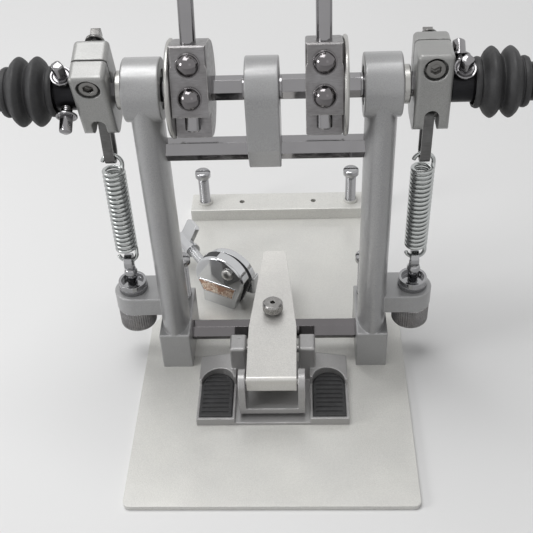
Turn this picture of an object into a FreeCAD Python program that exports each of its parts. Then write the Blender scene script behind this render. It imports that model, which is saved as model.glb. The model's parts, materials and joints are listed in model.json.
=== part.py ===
"""Centre unit of a double bass drum pedal, in millimetres.

A base plate carries two posts joined by hexagonal crossbars. Two separate
hexagonal shafts run in the posts and in a centre block, each with a beater
hub, a beater, a spring lever with a return spring, and a universal joint
that a drive shaft plugs into. A hoop clamp stands at the drum end.

+X is to the right seen from the drum, -Y points at the drum, +Z is up. The
origin is on the floor, midway between the posts and under the shaft axis.
"""
import FreeCAD, Part
import math
import os

V = FreeCAD.Vector
ORIGIN = V(0, 0, 0)
X_AXIS = V(1, 0, 0)
Y_AXIS = V(0, 1, 0)
Z_AXIS = V(0, 0, 1)

# Fits and cuts
OVERRUN = 2.0
RUNNING_CLEARANCE = 0.06
SLIP_CLEARANCE = 0.02
CLEAR_GAP = 0.3
PARALLEL_SHARE = 0.02

# Base plate and rear bar
PLATE_WIDTH = 165.0
PLATE_FRONT = 121.3
PLATE_THICKNESS = 3.0
PLATE_CORNER = 4.0
PLATE_SHOULDER = 21.0
PLATE_SHOULDER_LENGTH = 31.0
BAR_LENGTH = 132.0
BAR_FRONT = 136.3
BAR_DEPTH = 21.3
BAR_HEIGHT = 9.5
BAR_EDGE = 0.8
BAR_HOLE_SPACING = 54.6
BAR_HOLE_RADIUS = 2.0
BAR_HOLE_SETBACK = 10.7

# Spurs
SPUR_RADIUS = 4.0
SPUR_TIP_LENGTH = 6.0
SPUR_TIP_HEIGHT = 0.8
SPUR_HEAD_RADIUS = 5.8
SPUR_HEAD_HEIGHT = 4.6
SPUR_HEAD_ROUND = 1.4
SPUR_SLOT_WIDTH = 1.6
SPUR_SLOT_DEPTH = 1.8
SPUR_BOSS_RADIUS = 5.6
SPUR_BOSS_HEIGHT = 1.8
SPUR_PLATE_GAP = 0.6
REAR_SPUR_INSET = 10.5
REAR_SPUR_STANDOUT = 29.0
FRONT_SPUR_SETBACK = 22.2
FRONT_SPUR_INSET = 3.5
FRONT_SPUR_STANDOUT = 32.0

# Posts
SHAFT_HEIGHT = 194.0
POST_X = 61.2
POST_WIDTH = 19.0
RAIL_HEIGHT = 27.7
RAIL_FRONT = 16.2
RAIL_BACK = 29.0
RAIL_EDGE = 0.8
COLUMN_WIDTH = 17.0
COLUMN_DEPTH = 32.0
BOSS_RADIUS = 16.5
BOSS_WIDTH = 19.5
BOSS_EDGE = 0.9
ARM_TOP = 55.0
ARM_THICKNESS = 12.5
ARM_DEPTH = 23.4
ARM_EDGE = 0.8
SPRING_X = 85.6
SPRING_Y = 2.2

# Crossbars and centre block
HEX_FLATS = 11.0
HEX_CORNERS = 6
UPPER_BAR_DROP = 36.7
LOWER_BAR_HEIGHT = 20.1
CROSSBAR_LENGTH = 116.0
BLOCK_WIDTH = 17.4
BLOCK_RADIUS = 16.0
BLOCK_SHOULDER_DEPTH = 31.0
BLOCK_SHOULDER_RISE = 7.5
BLOCK_FOOT_DEPTH = 13.0
BLOCK_FOOT_DROP = 8.3
BLOCK_EDGE = 0.8

# Bearings and frame screws
BEARING_RADIUS = 10.5
BEARING_WIDTH = 6.0
BEARING_INSET = 0.8
SCREW_RADIUS = 2.0
SCREW_HEAD_RADIUS = 3.6
SCREW_HEAD_HEIGHT = 2.0
SCREW_SINK = 0.2
SCREW_BITE = 9.0
RAIL_SCREW_SPACING = 20.0
BAR_SCREW_INSET = 26.0
CLAMP_SCREW_SPACING = 60.0

# Beater shafts
JOURNAL_RADIUS = 6.4
JOURNAL_MARGIN = 1.4
SHAFT_MIDDLE_GAP = 1.5
SHAFT_HOLE_GAP = 0.8
HEX_LEAN = -5.0

# Beater hubs
LEFT_HUB_X = -35.4
RIGHT_HUB_X = 31.4
HUB_LEAN = -17.0
HUB_RADIUS = 25.0
HUB_WIDTH = 18.6
HUB_EDGE = 0.8
HUB_FRONT = 20.0
HUB_FRONT_WIDTH = 18.2
HUB_FRONT_TOP = 25.1
HUB_FRONT_BOTTOM = 10.3
HUB_RECESS_GAP = 0.6
HUB_DISC_RADIUS = 25.5
HUB_DISC_THICKNESS = 2.4
HUB_DISC_GAP = 0.3
ROD_SCREW_RADIUS = 2.5
ROD_SCREW_SPACING = 16.6
ROD_SCREW_HEAD_RADIUS = 5.6
ROD_SCREW_HEAD_HEIGHT = 4.2
ROD_SCREW_WASHER_RADIUS = 6.1
ROD_SCREW_WASHER = 1.0

# Beaters
ROD_RADIUS = 4.0
ROD_SETOUT = 12.6
ROD_STUB = 19.0
ROD_CHAMFER = 1.0
HEAD_HEIGHT = 150.0
HEAD_RADIUS = 24.0
HEAD_FRONT = 22.0
HEAD_BACK = 18.0
HEAD_ROUND = 5.0
HEAD_GRIP = 34.0

# Shaft collars and spring levers
COLLAR_RADIUS = 10.0
COLLAR_WIDTH = 3.7
COLLAR_EDGE = 0.5
COLLAR_SCREW_RADIUS = 1.5
LEVER_LEANS = {"left": 17.0, "right": 0.0}
LEFT_LEVER_SLIT = -1.0
RIGHT_LEVER_SLIT = 3.5
LEVER_WIDTH = 18.2
LEVER_DEPTH = 28.0
LEVER_TOP = 22.5
LEVER_BOTTOM = 22.0
LEVER_EDGE = 2.4
LEVER_FOOT_ROUND = 8.0
LEVER_SLIT = 1.2
FORK_SLOT = 7.6
FORK_SLOT_TOP = 7.9
FORK_PIN_RADIUS = 2.0
FORK_PIN_DROP = 17.5
FORK_PIN_LENGTH = 16.6
LEVER_SCREW_RISE = 14.9
LEVER_SCREW_RADIUS = 3.0
LEVER_SCREW_LENGTH = 15.0
LEVER_SCREW_HEAD_RADIUS = 4.8
LEVER_SCREW_HEAD_HEIGHT = 5.0
LEVER_SOCKET_FLATS = 5.0
LEVER_SOCKET_DEPTH = 3.0
LEVER_BORE_RADIUS = 6.1
LEVER_BORE_DEPTH = 5.6

# Square-head key bolts
BOLT_RADIUS = 2.9
BOLT_FLANGE_RADIUS = 5.7
BOLT_FLANGE = 1.5
BOLT_SQUARE = 5.7
BOLT_SQUARE_HEIGHT = 8.5
BOLT_STANDOFF = 3.6
INDEX_BOLT_SHARE = 0.9
INDEX_BOLT_RISE = 15.6
INDEX_BOLT_BITE = 5.0
INDEX_BOLT_STANDOFF = 4.0

# Universal joints
JOINT_RADIUS = 9.7
JOINT_COLLAR_WIDTH = 11.4
JOINT_GAP = 0.4
JOINT_EDGE = 0.6
JOINT_NECK = 3.0
JOINT_NECK_INSET = 0.1
JOINT_REACH = 10.8
YOKE_ARM_WIDTH = 9.0
YOKE_ARM_END = 4.0
YOKE_ARM_INNER = 6.2
YOKE_ARM_OUTER = 9.4
SPIDER_HALF = 5.4
SPIDER_PIN_RADIUS = 2.0
SPIDER_PIN_REACH = 9.2
SOCKET_RADIUS = 5.0
SOCKET_DEPTH = 10.5
SOCKET_TAP_RADIUS = 2.6
BOLT_ANGLES = {"left": (62.0, -34.0), "right": (58.0, 142.0)}

# Rubber boots over the joints
BOOT_END_GAP = 0.2
BOOT_BORE = 11.4
BOOT_CREST_RADII = (13.0, 18.0, 18.0, 13.0)
BOOT_VALLEY_RADII = (12.2, 12.6, 13.6, 12.6, 12.2)
BOOT_WIDTH_SHARES = (0.14, 0.36, 0.36, 0.14)
BOOT_CREST_SHARES = (0.28, 0.72)

# Return springs, links and eyebolts
SPRING_WIRE = 1.9
SPRING_RADIUS = 5.5
SPRING_PITCH = 2.97
SPRING_HEAD_DROP = 47.9
SPRING_RISE = 3.6
SPRING_FOOT_HEIGHT = 82.5
SPRING_LEAD_ANGLE = 30.0
SPRING_TEST_SHARES = (0, 0.25, 0.5, 0.75)
HOOK_START_ANGLE = 195.0
LINK_WIDTH = 5.4
LINK_THICKNESS = 1.8
LINK_INNER = 3.9
LINK_RING_DROP = 2.8
EYE_THICKNESS = 4.6
EYE_INNER = 2.6
EYE_OUTER = 5.1
EYE_DROP = 6.2
EYEBOLT_RADIUS = 3.0
EYEBOLT_END = 24.5
EYEBOLT_HOLE_GAP = 0.35
CUP_NUT_RADIUS = 8.5
CUP_NUT_HEIGHT = 6.5
CUP_NUT_DISH_RADIUS = 6.9
CUP_NUT_DISH_DEPTH = 3.2
KNOB_NUT_RADIUS = 11.0
KNOB_NUT_HEIGHT = 15.5
KNOB_NUT_EDGE = 1.0

# Hoop clamp
CLAMP_WIDTH = 91.0
CLAMP_FRONT = 64.2
CLAMP_BACK = 14.0
CLAMP_DECK = 2.0
PAD_X = 34.0
PAD_RADIUS = 10.0
PAD_FRONT = 62.6
PAD_BACK = 28.3
PAD_SEAT = 3.0
PAD_THICKNESS = 3.6
PAD_RIM = 1.4
PAD_RIM_HEIGHT = 5.6
PAD_RIBS = 9
PAD_GROOVE_DEPTH = 1.0
PAD_GROOVE_SHARE = 0.4
WALL_FRONT = 37.0
WALL_BACK = 16.5
WALL_HEIGHT = 12.5
WALL_DROP = 3.0
PILLAR_INNER = 16.0
PILLAR_WIDTH = 10.0
PILLAR_FRONT = 30.0
PILLAR_DEPTH = 13.5
PILLAR_HEIGHT = 29.5
PILLAR_EDGE = 1.6
CLAMP_PIN_RADIUS = 2.5
PIVOT_SETOUT = 23.2
PIVOT_HEIGHT = 26.0
PIVOT_PIN_LENGTH = 50.0
LEVER_PLATE_TOP = 35.6
LEVER_PLATE_THICKNESS = 3.4
LEVER_PLATE_WIDTH = 29.4
LEVER_PLATE_FRONT = 57.0
LEVER_PLATE_KINK = 14.0
LEVER_PLATE_TAIL = 59.6
LEVER_TAIL_WIDTH = 15.0
LEVER_TAIL_CORNER = 4.0
LEVER_LIP_DEPTH = 10.0
LEVER_LIP_HEIGHT = 11.6
LEVER_LIP_ROUND = 2.2
LUG_WIDTH = 5.0
LUG_RADIUS = 5.0
FOOT_PIN_SETOUT = 52.0
FOOT_PIN_HEIGHT = 28.0
FOOT_PIN_LENGTH = 38.4
FOOT_EAR_INNER = 15.6
FOOT_EAR_THICKNESS = 4.0
FOOT_EAR_RADIUS = 7.6
FOOT_DEPTH = 15.0
FOOT_HEIGHT = 20.0
FOOT_FLOOR = 4.0
JACK_RADIUS = 3.0
JACK_HEAD_RADIUS = 6.0
JACK_HEAD_HEIGHT = 6.6
JACK_HEAD_EDGE = 0.8
JACK_HEAD_LIFT = 1.2
JACK_SOCKET_FLATS = 3.0
JACK_SOCKET_DEPTH = 3.0

# Hoop clip that lies on the plate
CLIP_CORNER_X = -50.2
CLIP_CORNER_Y = 47.4
CLIP_TURN = -27.1
CLIP_FOOT_WIDTH = 24.4
CLIP_FOOT_HEIGHT = 10.0
CLIP_CHEEK_LEFT = 4.1
CLIP_CHEEK_LEFT_HEIGHT = 19.2
CLIP_CHEEK_MIDDLE = 15.0
CLIP_CHEEK_TOP = 41.0
CLIP_CHEEK_RIGHT = 33.0
CLIP_CHEEK_RIGHT_HEIGHT = 26.0
CLIP_CHEEK = 8.0
CLIP_EDGE = 1.6
CLIP_WINDOW = 9.0
CLIP_WINDOW_RIM = 1.6
CLIP_WINDOW_DEPTH = 2.2
CLIP_RIVET_X = 21.8
CLIP_RIVET_HEIGHT = 31.0
CLIP_RIVET_RADIUS = 3.9
CLIP_RIVET_DOME = 1.2
CLIP_LINING = 4.0
CLIP_LINING_DROP = 5.0
CLIP_JAW = 4.5
CLIP_JAW_DROP = 3.5
CLIP_LIP_START = 17.0
CLIP_LIP_END = 32.5
CLIP_LIP_DEPTH = 6.0
CLIP_LIP_BOTTOM = 6.0
CLIP_LIP_TOP = 19.0
CLIP_SCREW_X = -2.5
CLIP_SCREW_RISE = 21.5
CLIP_SCREW_AZIMUTH = 121.2
CLIP_THREAD_RADIUS = 2.9
CLIP_THREAD_LENGTH = 19.0
CLIP_THREAD_BITE = 8.0
CLIP_HUB_RADIUS = 4.4
CLIP_HUB_LENGTH = 19.0
CLIP_FLANGE_RADIUS = 5.2
CLIP_FLANGE = 2.6
CLIP_WING_SPAN = 31.0
CLIP_WING_THICKNESS = 3.2
CLIP_WING_LENGTH = 13.0
CLIP_WING_CORNER = 2.5
CLIP_WING_TURN = -27.0

# Heights and places that follow from the sizes above
RAIL_TOP = PLATE_THICKNESS + RAIL_HEIGHT
UPPER_BAR_HEIGHT = SHAFT_HEIGHT - UPPER_BAR_DROP
BAR_TOP = PLATE_THICKNESS + BAR_HEIGHT
BAR_BACK = BAR_FRONT + BAR_DEPTH
HEX_RADIUS = HEX_FLATS / math.sqrt(3)
LEVER_X = SPRING_X
SPRING_SPAN = SHAFT_HEIGHT - SPRING_HEAD_DROP - SPRING_FOOT_HEIGHT
SPRING_TURNS = round((SPRING_SPAN - 2 * SPRING_RISE) / SPRING_PITCH)
JOINT_X = LEVER_X + LEVER_WIDTH / 2 + JOINT_GAP
JOINT_NECK_X = JOINT_X + JOINT_COLLAR_WIDTH
JOINT_CENTRE = JOINT_NECK_X + JOINT_NECK + JOINT_REACH
BOSS_OUTER = POST_X + BOSS_WIDTH / 2
COLLAR_X = BOSS_OUTER + CLEAR_GAP
HUB_MIDDLE = (HUB_FRONT_TOP - HUB_FRONT_BOTTOM) / 2
SIDES = {"left": -1, "right": 1}
HUB_PLACES = {"left": LEFT_HUB_X, "right": RIGHT_HUB_X}
LEVER_SLIT_PLACES = {"left": LEFT_LEVER_SLIT, "right": RIGHT_LEVER_SLIT}


def block(x, y, z):
    """Box between two limits on each axis."""
    return Part.makeBox(x[1] - x[0], y[1] - y[0], z[1] - z[0], V(x[0], y[0], z[0]))


def centred(width):
    """Limits of a width that is centred on zero."""
    return (-width / 2, width / 2)


def rod_x(x, y, z, radius):
    """Round bar along X."""
    return Part.makeCylinder(radius, x[1] - x[0], V(x[0], y, z), X_AXIS)


def rod_y(x, y, z, radius):
    """Round bar along Y."""
    return Part.makeCylinder(radius, y[1] - y[0], V(x, y[0], z), Y_AXIS)


def rod_z(x, y, z, radius):
    """Round bar along Z."""
    return Part.makeCylinder(radius, z[1] - z[0], V(x, y, z[0]), Z_AXIS)


def prism(points, sweep):
    """Solid swept from a closed polygon."""
    return Part.Face(Part.makePolygon(points + points[:1])).extrude(sweep)


def hex_x(x, y, z, flats, lean=0):
    """Hexagonal bar along X, flat on top before it is leaned."""
    radius = flats / math.sqrt(3)
    corners = []
    for corner in range(HEX_CORNERS):
        angle = math.radians(lean + corner * 360 / HEX_CORNERS)
        corners.append(V(x[0], y + radius * math.cos(angle), z + radius * math.sin(angle)))
    return prism(corners, V(x[1] - x[0], 0, 0))


def hex_z(flats, z):
    """Hexagonal bar along Z on the origin's axis."""
    bar = hex_x(z, 0, 0, flats)
    bar.rotate(ORIGIN, Y_AXIS, -90)
    return bar


def line_edges(shape, axis):
    """Straight edges that run along an axis."""
    found = []
    for edge in shape.Edges:
        if isinstance(edge.Curve, Part.Line):
            if abs(abs(edge.tangentAt(edge.FirstParameter).dot(axis)) - 1) < PARALLEL_SHARE:
                found.append(edge)
    return found


def circle_edges(shape):
    """Circular edges of a shape."""
    return [edge for edge in shape.Edges if isinstance(edge.Curve, Part.Circle)]


def edges_at_top(shape):
    """Edges that lie in the highest plane of a shape."""
    top = shape.BoundBox.ZMax
    return [edge for edge in shape.Edges if edge.BoundBox.ZMin > top - SLIP_CLEARANCE]


def mirrored(shape, side):
    """The right-hand shape itself, or its mirror image for the left."""
    if SIDES[side] > 0:
        return shape
    return shape.mirror(ORIGIN, X_AXIS)


def on_shaft(shape, x, lean):
    """Lean a piece about the shaft line and set it at its place on the shaft."""
    placed = shape.copy()
    placed.rotate(ORIGIN, X_AXIS, lean)
    placed.translate(V(x, 0, SHAFT_HEIGHT))
    return placed


def shaft_bore(x):
    """Hexagonal hole that slips over a beater shaft."""
    return hex_x(x, 0, SHAFT_HEIGHT, HEX_FLATS + 2 * SLIP_CLEARANCE, HEX_LEAN)


def aimed(shape, place, direction):
    """Turn a shape that stands on the origin along Z to another direction."""
    turned = shape.copy()
    turned.Placement = FreeCAD.Placement(place, FreeCAD.Rotation(Z_AXIS, direction)) * shape.Placement
    return turned


def spur_places():
    """Node name, place and standout of each spur."""
    rear_y = BAR_FRONT + BAR_DEPTH / 2
    places = {}
    for side, sign in SIDES.items():
        front_x = sign * (POST_X - FRONT_SPUR_INSET)
        places[side + "_front_spur"] = (front_x, FRONT_SPUR_SETBACK, RAIL_TOP + FRONT_SPUR_STANDOUT)
        places[side + "_rear_spur"] = (sign * (BAR_LENGTH / 2 - REAR_SPUR_INSET), rear_y, BAR_TOP + REAR_SPUR_STANDOUT)
    return places


def screw_places():
    """Centres of the countersunk screws under the plate."""
    places = []
    for sign in SIDES.values():
        for offset in centred(RAIL_SCREW_SPACING):
            places.append((sign * POST_X, offset))
        places.append((sign * (BAR_LENGTH / 2 - BAR_SCREW_INSET), BAR_FRONT + BAR_DEPTH / 2))
        places.append((sign * CLAMP_SCREW_SPACING / 2, -(WALL_BACK + WALL_FRONT) / 2))
    return places


def screw_holes(bottom, radius):
    """Blind holes for the frame screws, from a height upward."""
    top = PLATE_THICKNESS + SCREW_BITE + CLEAR_GAP
    return [rod_z(x, y, (bottom, top), radius) for x, y in screw_places()]


def base_plate():
    half = PLATE_WIDTH / 2
    rear_half = BAR_LENGTH / 2
    waist = PLATE_SHOULDER + PLATE_SHOULDER_LENGTH
    right = [(half, -PLATE_FRONT), (half, PLATE_SHOULDER), (rear_half, waist), (rear_half, BAR_BACK)]
    left = [(-x, y) for x, y in reversed(right)]
    plate = prism([V(x, y, 0) for x, y in right + left], V(0, 0, PLATE_THICKNESS))
    plate = plate.makeFillet(PLATE_CORNER, line_edges(plate, Z_AXIS))
    for x, y, top in spur_places().values():
        hole = rod_z(x, y, (-OVERRUN, PLATE_THICKNESS + OVERRUN), SPUR_RADIUS + SPUR_PLATE_GAP)
        plate = plate.cut(hole)
    for screw in frame_screws(SLIP_CLEARANCE):
        plate = plate.cut(screw)
    return plate


def frame_screws(extra=0):
    """Countersunk screws that hold the posts, the bar and the clamp from below."""
    screws = []
    for x, y in screw_places():
        floor = V(x, y, SCREW_SINK - extra)
        wide = SCREW_HEAD_RADIUS + extra
        narrow = SCREW_RADIUS + extra
        head = Part.makeCone(wide, narrow, SCREW_HEAD_HEIGHT, floor, Z_AXIS)
        shank = rod_z(x, y, (SCREW_SINK, PLATE_THICKNESS + SCREW_BITE), narrow)
        screws.append(head.fuse(shank))
        if extra:
            screws.append(rod_z(x, y, (-OVERRUN, SCREW_SINK), wide))
    return screws


def rear_bar():
    bar = block(centred(BAR_LENGTH), (BAR_FRONT, BAR_BACK), (PLATE_THICKNESS, BAR_TOP))
    bar = bar.makeFillet(BAR_EDGE, edges_at_top(bar))
    through = (PLATE_THICKNESS - OVERRUN, BAR_TOP + SPUR_BOSS_HEIGHT + OVERRUN)
    for name, (x, y, top) in spur_places().items():
        if name.endswith("rear_spur"):
            bar = bar.fuse(rod_z(x, y, (BAR_TOP - BAR_EDGE, BAR_TOP + SPUR_BOSS_HEIGHT), SPUR_BOSS_RADIUS))
            bar = bar.cut(rod_z(x, y, through, SPUR_RADIUS + RUNNING_CLEARANCE))
    for x in centred(BAR_HOLE_SPACING):
        bar = bar.cut(rod_z(x, BAR_FRONT + BAR_HOLE_SETBACK, through, BAR_HOLE_RADIUS))
    return bar.cut(screw_holes(PLATE_THICKNESS - OVERRUN, SCREW_RADIUS + SLIP_CLEARANCE))


def spur(x, y, top):
    """Slotted pan-head screw with a pointed tip."""
    tip_top = SPUR_TIP_HEIGHT + SPUR_TIP_LENGTH
    head_bottom = top - SPUR_HEAD_HEIGHT
    head = rod_z(x, y, (head_bottom, top), SPUR_HEAD_RADIUS)
    head = head.makeFillet(SPUR_HEAD_ROUND, edges_at_top(head))
    slot_x = (x - SPUR_HEAD_RADIUS - OVERRUN, x + SPUR_HEAD_RADIUS + OVERRUN)
    slot_y = (y - SPUR_SLOT_WIDTH / 2, y + SPUR_SLOT_WIDTH / 2)
    head = head.cut(block(slot_x, slot_y, (top - SPUR_SLOT_DEPTH, top + OVERRUN)))
    tip = Part.makeCone(0, SPUR_RADIUS, SPUR_TIP_LENGTH, V(x, y, SPUR_TIP_HEIGHT), Z_AXIS)
    return head.fuse([rod_z(x, y, (tip_top, head_bottom), SPUR_RADIUS), tip])


def post():
    """Right-hand post: rail, oval column, bearing boss and spring arm in one casting."""
    width = (POST_X - POST_WIDTH / 2, POST_X + POST_WIDTH / 2)
    rail = block(width, (-RAIL_FRONT, RAIL_BACK), (PLATE_THICKNESS, RAIL_TOP))
    rail = rail.makeFillet(RAIL_EDGE, line_edges(rail, Z_AXIS) + edges_at_top(rail))
    base = V(POST_X, 0, RAIL_TOP - RAIL_EDGE)
    oval = Part.Ellipse(base + V(0, COLUMN_DEPTH / 2, 0), base + V(COLUMN_WIDTH / 2, 0, 0), base)
    column = Part.Face(Part.Wire(oval.toShape())).extrude(V(0, 0, SHAFT_HEIGHT - base.z))
    boss = rod_x((POST_X - BOSS_WIDTH / 2, BOSS_OUTER), 0, SHAFT_HEIGHT, BOSS_RADIUS)
    boss = boss.makeFillet(BOSS_EDGE, circle_edges(boss))
    casting = rail.fuse([column, boss, spring_arm()])
    for cutter in post_cutters(width):
        casting = casting.cut(cutter)
    return casting


def spring_arm():
    """Arm that the eyebolt passes through, with a round end."""
    height = (ARM_TOP - ARM_THICKNESS, ARM_TOP)
    reach = (SPRING_Y - ARM_DEPTH / 2, SPRING_Y + ARM_DEPTH / 2)
    arm = block((POST_X, SPRING_X), reach, height)
    arm = arm.fuse(rod_z(SPRING_X, SPRING_Y, height, ARM_DEPTH / 2)).removeSplitter()
    return arm.makeFillet(ARM_EDGE, edges_at_top(arm))


def post_cutters(width):
    """Holes in the right-hand post."""
    inner = POST_X - BOSS_WIDTH / 2
    seat = rod_x((inner - OVERRUN, inner + BEARING_INSET + BEARING_WIDTH), 0, SHAFT_HEIGHT, BEARING_RADIUS)
    passage = rod_x((inner, BOSS_OUTER + OVERRUN), 0, SHAFT_HEIGHT, JOURNAL_RADIUS + SHAFT_HOLE_GAP)
    socket_x = (width[0] - OVERRUN, CROSSBAR_LENGTH / 2)
    flats = HEX_FLATS + 2 * SLIP_CLEARANCE
    sockets = [hex_x(socket_x, 0, height, flats) for height in (LOWER_BAR_HEIGHT, UPPER_BAR_HEIGHT)]
    spur_z = (-OVERRUN, RAIL_TOP + OVERRUN)
    spur_x = POST_X - FRONT_SPUR_INSET
    spur_hole = rod_z(spur_x, FRONT_SPUR_SETBACK, spur_z, SPUR_RADIUS + RUNNING_CLEARANCE)
    eye_z = (ARM_TOP - ARM_THICKNESS - OVERRUN, ARM_TOP + OVERRUN)
    eye_hole = rod_z(SPRING_X, SPRING_Y, eye_z, EYEBOLT_RADIUS + EYEBOLT_HOLE_GAP)
    screws = screw_holes(PLATE_THICKNESS - OVERRUN, SCREW_RADIUS + SLIP_CLEARANCE)
    return [seat, passage, spur_hole, eye_hole] + sockets + screws


def crossbar(height):
    return hex_x(centred(CROSSBAR_LENGTH), 0, height, HEX_FLATS)


def centre_block():
    """Upright block on the upper crossbar that carries the inner shaft ends."""
    x = -BLOCK_WIDTH / 2
    foot = UPPER_BAR_HEIGHT - BLOCK_FOOT_DROP
    top = V(x, 0, SHAFT_HEIGHT + BLOCK_RADIUS)
    front = V(x, -BLOCK_RADIUS, SHAFT_HEIGHT)
    back = V(x, BLOCK_RADIUS, SHAFT_HEIGHT)
    shoulder = UPPER_BAR_HEIGHT + BLOCK_SHOULDER_RISE
    below = [back]
    for depth, height in ((BLOCK_SHOULDER_DEPTH, shoulder), (BLOCK_FOOT_DEPTH, foot)):
        below.append(V(x, depth / 2, height))
    below += [V(x, -point.y, point.z) for point in reversed(below)]
    outline = [Part.Arc(front, top, back).toShape()]
    outline += [Part.LineSegment(a, b).toShape() for a, b in zip(below, below[1:])]
    body = Part.Face(Part.Wire(outline)).extrude(V(BLOCK_WIDTH, 0, 0))
    rim = [edge for edge in body.Edges if edge.BoundBox.XLength < SLIP_CLEARANCE]
    body = body.makeFillet(BLOCK_EDGE, rim)
    through = centred(BLOCK_WIDTH + 2 * OVERRUN)
    body = body.cut(rod_x(through, 0, SHAFT_HEIGHT, JOURNAL_RADIUS + SHAFT_HOLE_GAP))
    body = body.cut(hex_x(through, 0, UPPER_BAR_HEIGHT, HEX_FLATS + 2 * SLIP_CLEARANCE))
    seat = (BLOCK_WIDTH / 2 - BEARING_INSET - BEARING_WIDTH, BLOCK_WIDTH / 2 + OVERRUN)
    for side in SIDES:
        body = body.cut(mirrored(rod_x(seat, 0, SHAFT_HEIGHT, BEARING_RADIUS), side))
    return body


def bearing(x):
    """Plain ring that a shaft journal runs in, from a place on X outward."""
    span = (x, x + BEARING_WIDTH)
    ring = rod_x(span, 0, SHAFT_HEIGHT, BEARING_RADIUS - SLIP_CLEARANCE)
    bore = (x - OVERRUN, x + BEARING_WIDTH + OVERRUN)
    return ring.cut(rod_x(bore, 0, SHAFT_HEIGHT, JOURNAL_RADIUS + RUNNING_CLEARANCE))


def shaft_bearings():
    block_x = BLOCK_WIDTH / 2 - BEARING_INSET - BEARING_WIDTH
    post_x = POST_X - BOSS_WIDTH / 2 + BEARING_INSET
    return [mirrored(bearing(x), side) for side in SIDES for x in (block_x, post_x)]


def shaft():
    """Right-hand beater shaft: hexagonal bar, round where it runs in bearings."""
    end = JOINT_NECK_X
    bar = hex_x((SHAFT_MIDDLE_GAP / 2, end), 0, SHAFT_HEIGHT, HEX_FLATS, HEX_LEAN)
    inner = (SHAFT_MIDDLE_GAP / 2, BLOCK_WIDTH / 2 + JOURNAL_MARGIN)
    outer = (POST_X - BOSS_WIDTH / 2 - JOURNAL_MARGIN, COLLAR_X + COLLAR_WIDTH)
    return bar.fuse([rod_x(span, 0, SHAFT_HEIGHT, JOURNAL_RADIUS) for span in (inner, outer)])


def hub():
    """Beater hub on the origin: a drum with a block in front that the rod runs through."""
    drum = rod_x(centred(HUB_WIDTH), 0, 0, HUB_RADIUS)
    drum = drum.makeChamfer(HUB_EDGE, circle_edges(drum))
    wide = centred(HUB_WIDTH + 2 * OVERRUN)
    ahead = -HUB_RADIUS - OVERRUN
    drum = drum.cut(block(wide, (ahead, -HUB_FRONT), (ahead, -ahead)))
    recess = (ahead, -ROD_SETOUT + ROD_RADIUS + HUB_RECESS_GAP)
    drum = drum.cut(block(wide, recess, (ahead, -HUB_FRONT_BOTTOM)))
    nose = block(centred(HUB_FRONT_WIDTH), (-HUB_FRONT, 0), (-HUB_FRONT_BOTTOM, HUB_FRONT_TOP))
    front = [edge for edge in nose.Edges if edge.BoundBox.YMax < SLIP_CLEARANCE - HUB_FRONT]
    nose = nose.makeChamfer(HUB_EDGE, front)
    body = drum.fuse(nose)
    bore_z = (-HUB_RADIUS - OVERRUN, HUB_FRONT_TOP + OVERRUN)
    body = body.cut(rod_z(0, -ROD_SETOUT, bore_z, ROD_RADIUS + RUNNING_CLEARANCE))
    for height in rod_screw_heights():
        hole_y = (-HUB_FRONT - OVERRUN, -ROD_SETOUT)
        body = body.cut(rod_y(0, hole_y, height, ROD_SCREW_RADIUS + SLIP_CLEARANCE))
    return body


def rod_screw_heights():
    """Heights above the shaft line of the two screws that hold the rod."""
    return [HUB_MIDDLE + offset for offset in centred(ROD_SCREW_SPACING)]


def rod_screws():
    """Dome-head screws that press on the beater rod."""
    screws = []
    rod_front = -ROD_SETOUT - ROD_RADIUS - CLEAR_GAP
    seat = -HUB_FRONT - ROD_SCREW_WASHER
    ball = (ROD_SCREW_HEAD_RADIUS ** 2 + ROD_SCREW_HEAD_HEIGHT ** 2) / (2 * ROD_SCREW_HEAD_HEIGHT)
    for height in rod_screw_heights():
        shank = rod_y(0, (seat, rod_front), height, ROD_SCREW_RADIUS)
        washer = rod_y(0, (seat, -HUB_FRONT), height, ROD_SCREW_WASHER_RADIUS)
        sphere = Part.makeSphere(ball, V(0, seat - ROD_SCREW_HEAD_HEIGHT + ball, height))
        cap_y = (seat - ROD_SCREW_HEAD_HEIGHT - OVERRUN, seat)
        dome = sphere.common(rod_y(0, cap_y, height, ball + OVERRUN))
        screws.append(shank.fuse([washer, dome]))
    return screws


def hub_disc():
    """Thin disc beside the right-hand hub, on its outer side."""
    start = HUB_WIDTH / 2 + HUB_DISC_GAP
    disc = rod_x((start, start + HUB_DISC_THICKNESS), 0, 0, HUB_DISC_RADIUS)
    return disc.makeChamfer(HUB_EDGE, circle_edges(disc))


def beater_rod():
    top = HEAD_HEIGHT - HEAD_RADIUS + HEAD_GRIP
    rod = rod_z(0, -ROD_SETOUT, (-ROD_STUB, top), ROD_RADIUS)
    return rod.makeChamfer(ROD_CHAMFER, circle_edges(rod))


def beater_head():
    """Felt head, round about the stroke's direction, with a blind hole for the rod."""
    head = rod_y(0, (-ROD_SETOUT - HEAD_FRONT, -ROD_SETOUT + HEAD_BACK), HEAD_HEIGHT, HEAD_RADIUS)
    head = head.makeFillet(HEAD_ROUND, circle_edges(head))
    hole_z = (HEAD_HEIGHT - HEAD_RADIUS - OVERRUN, HEAD_HEIGHT - HEAD_RADIUS + HEAD_GRIP)
    return head.cut(rod_z(0, -ROD_SETOUT, hole_z, ROD_RADIUS + SLIP_CLEARANCE))


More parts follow.
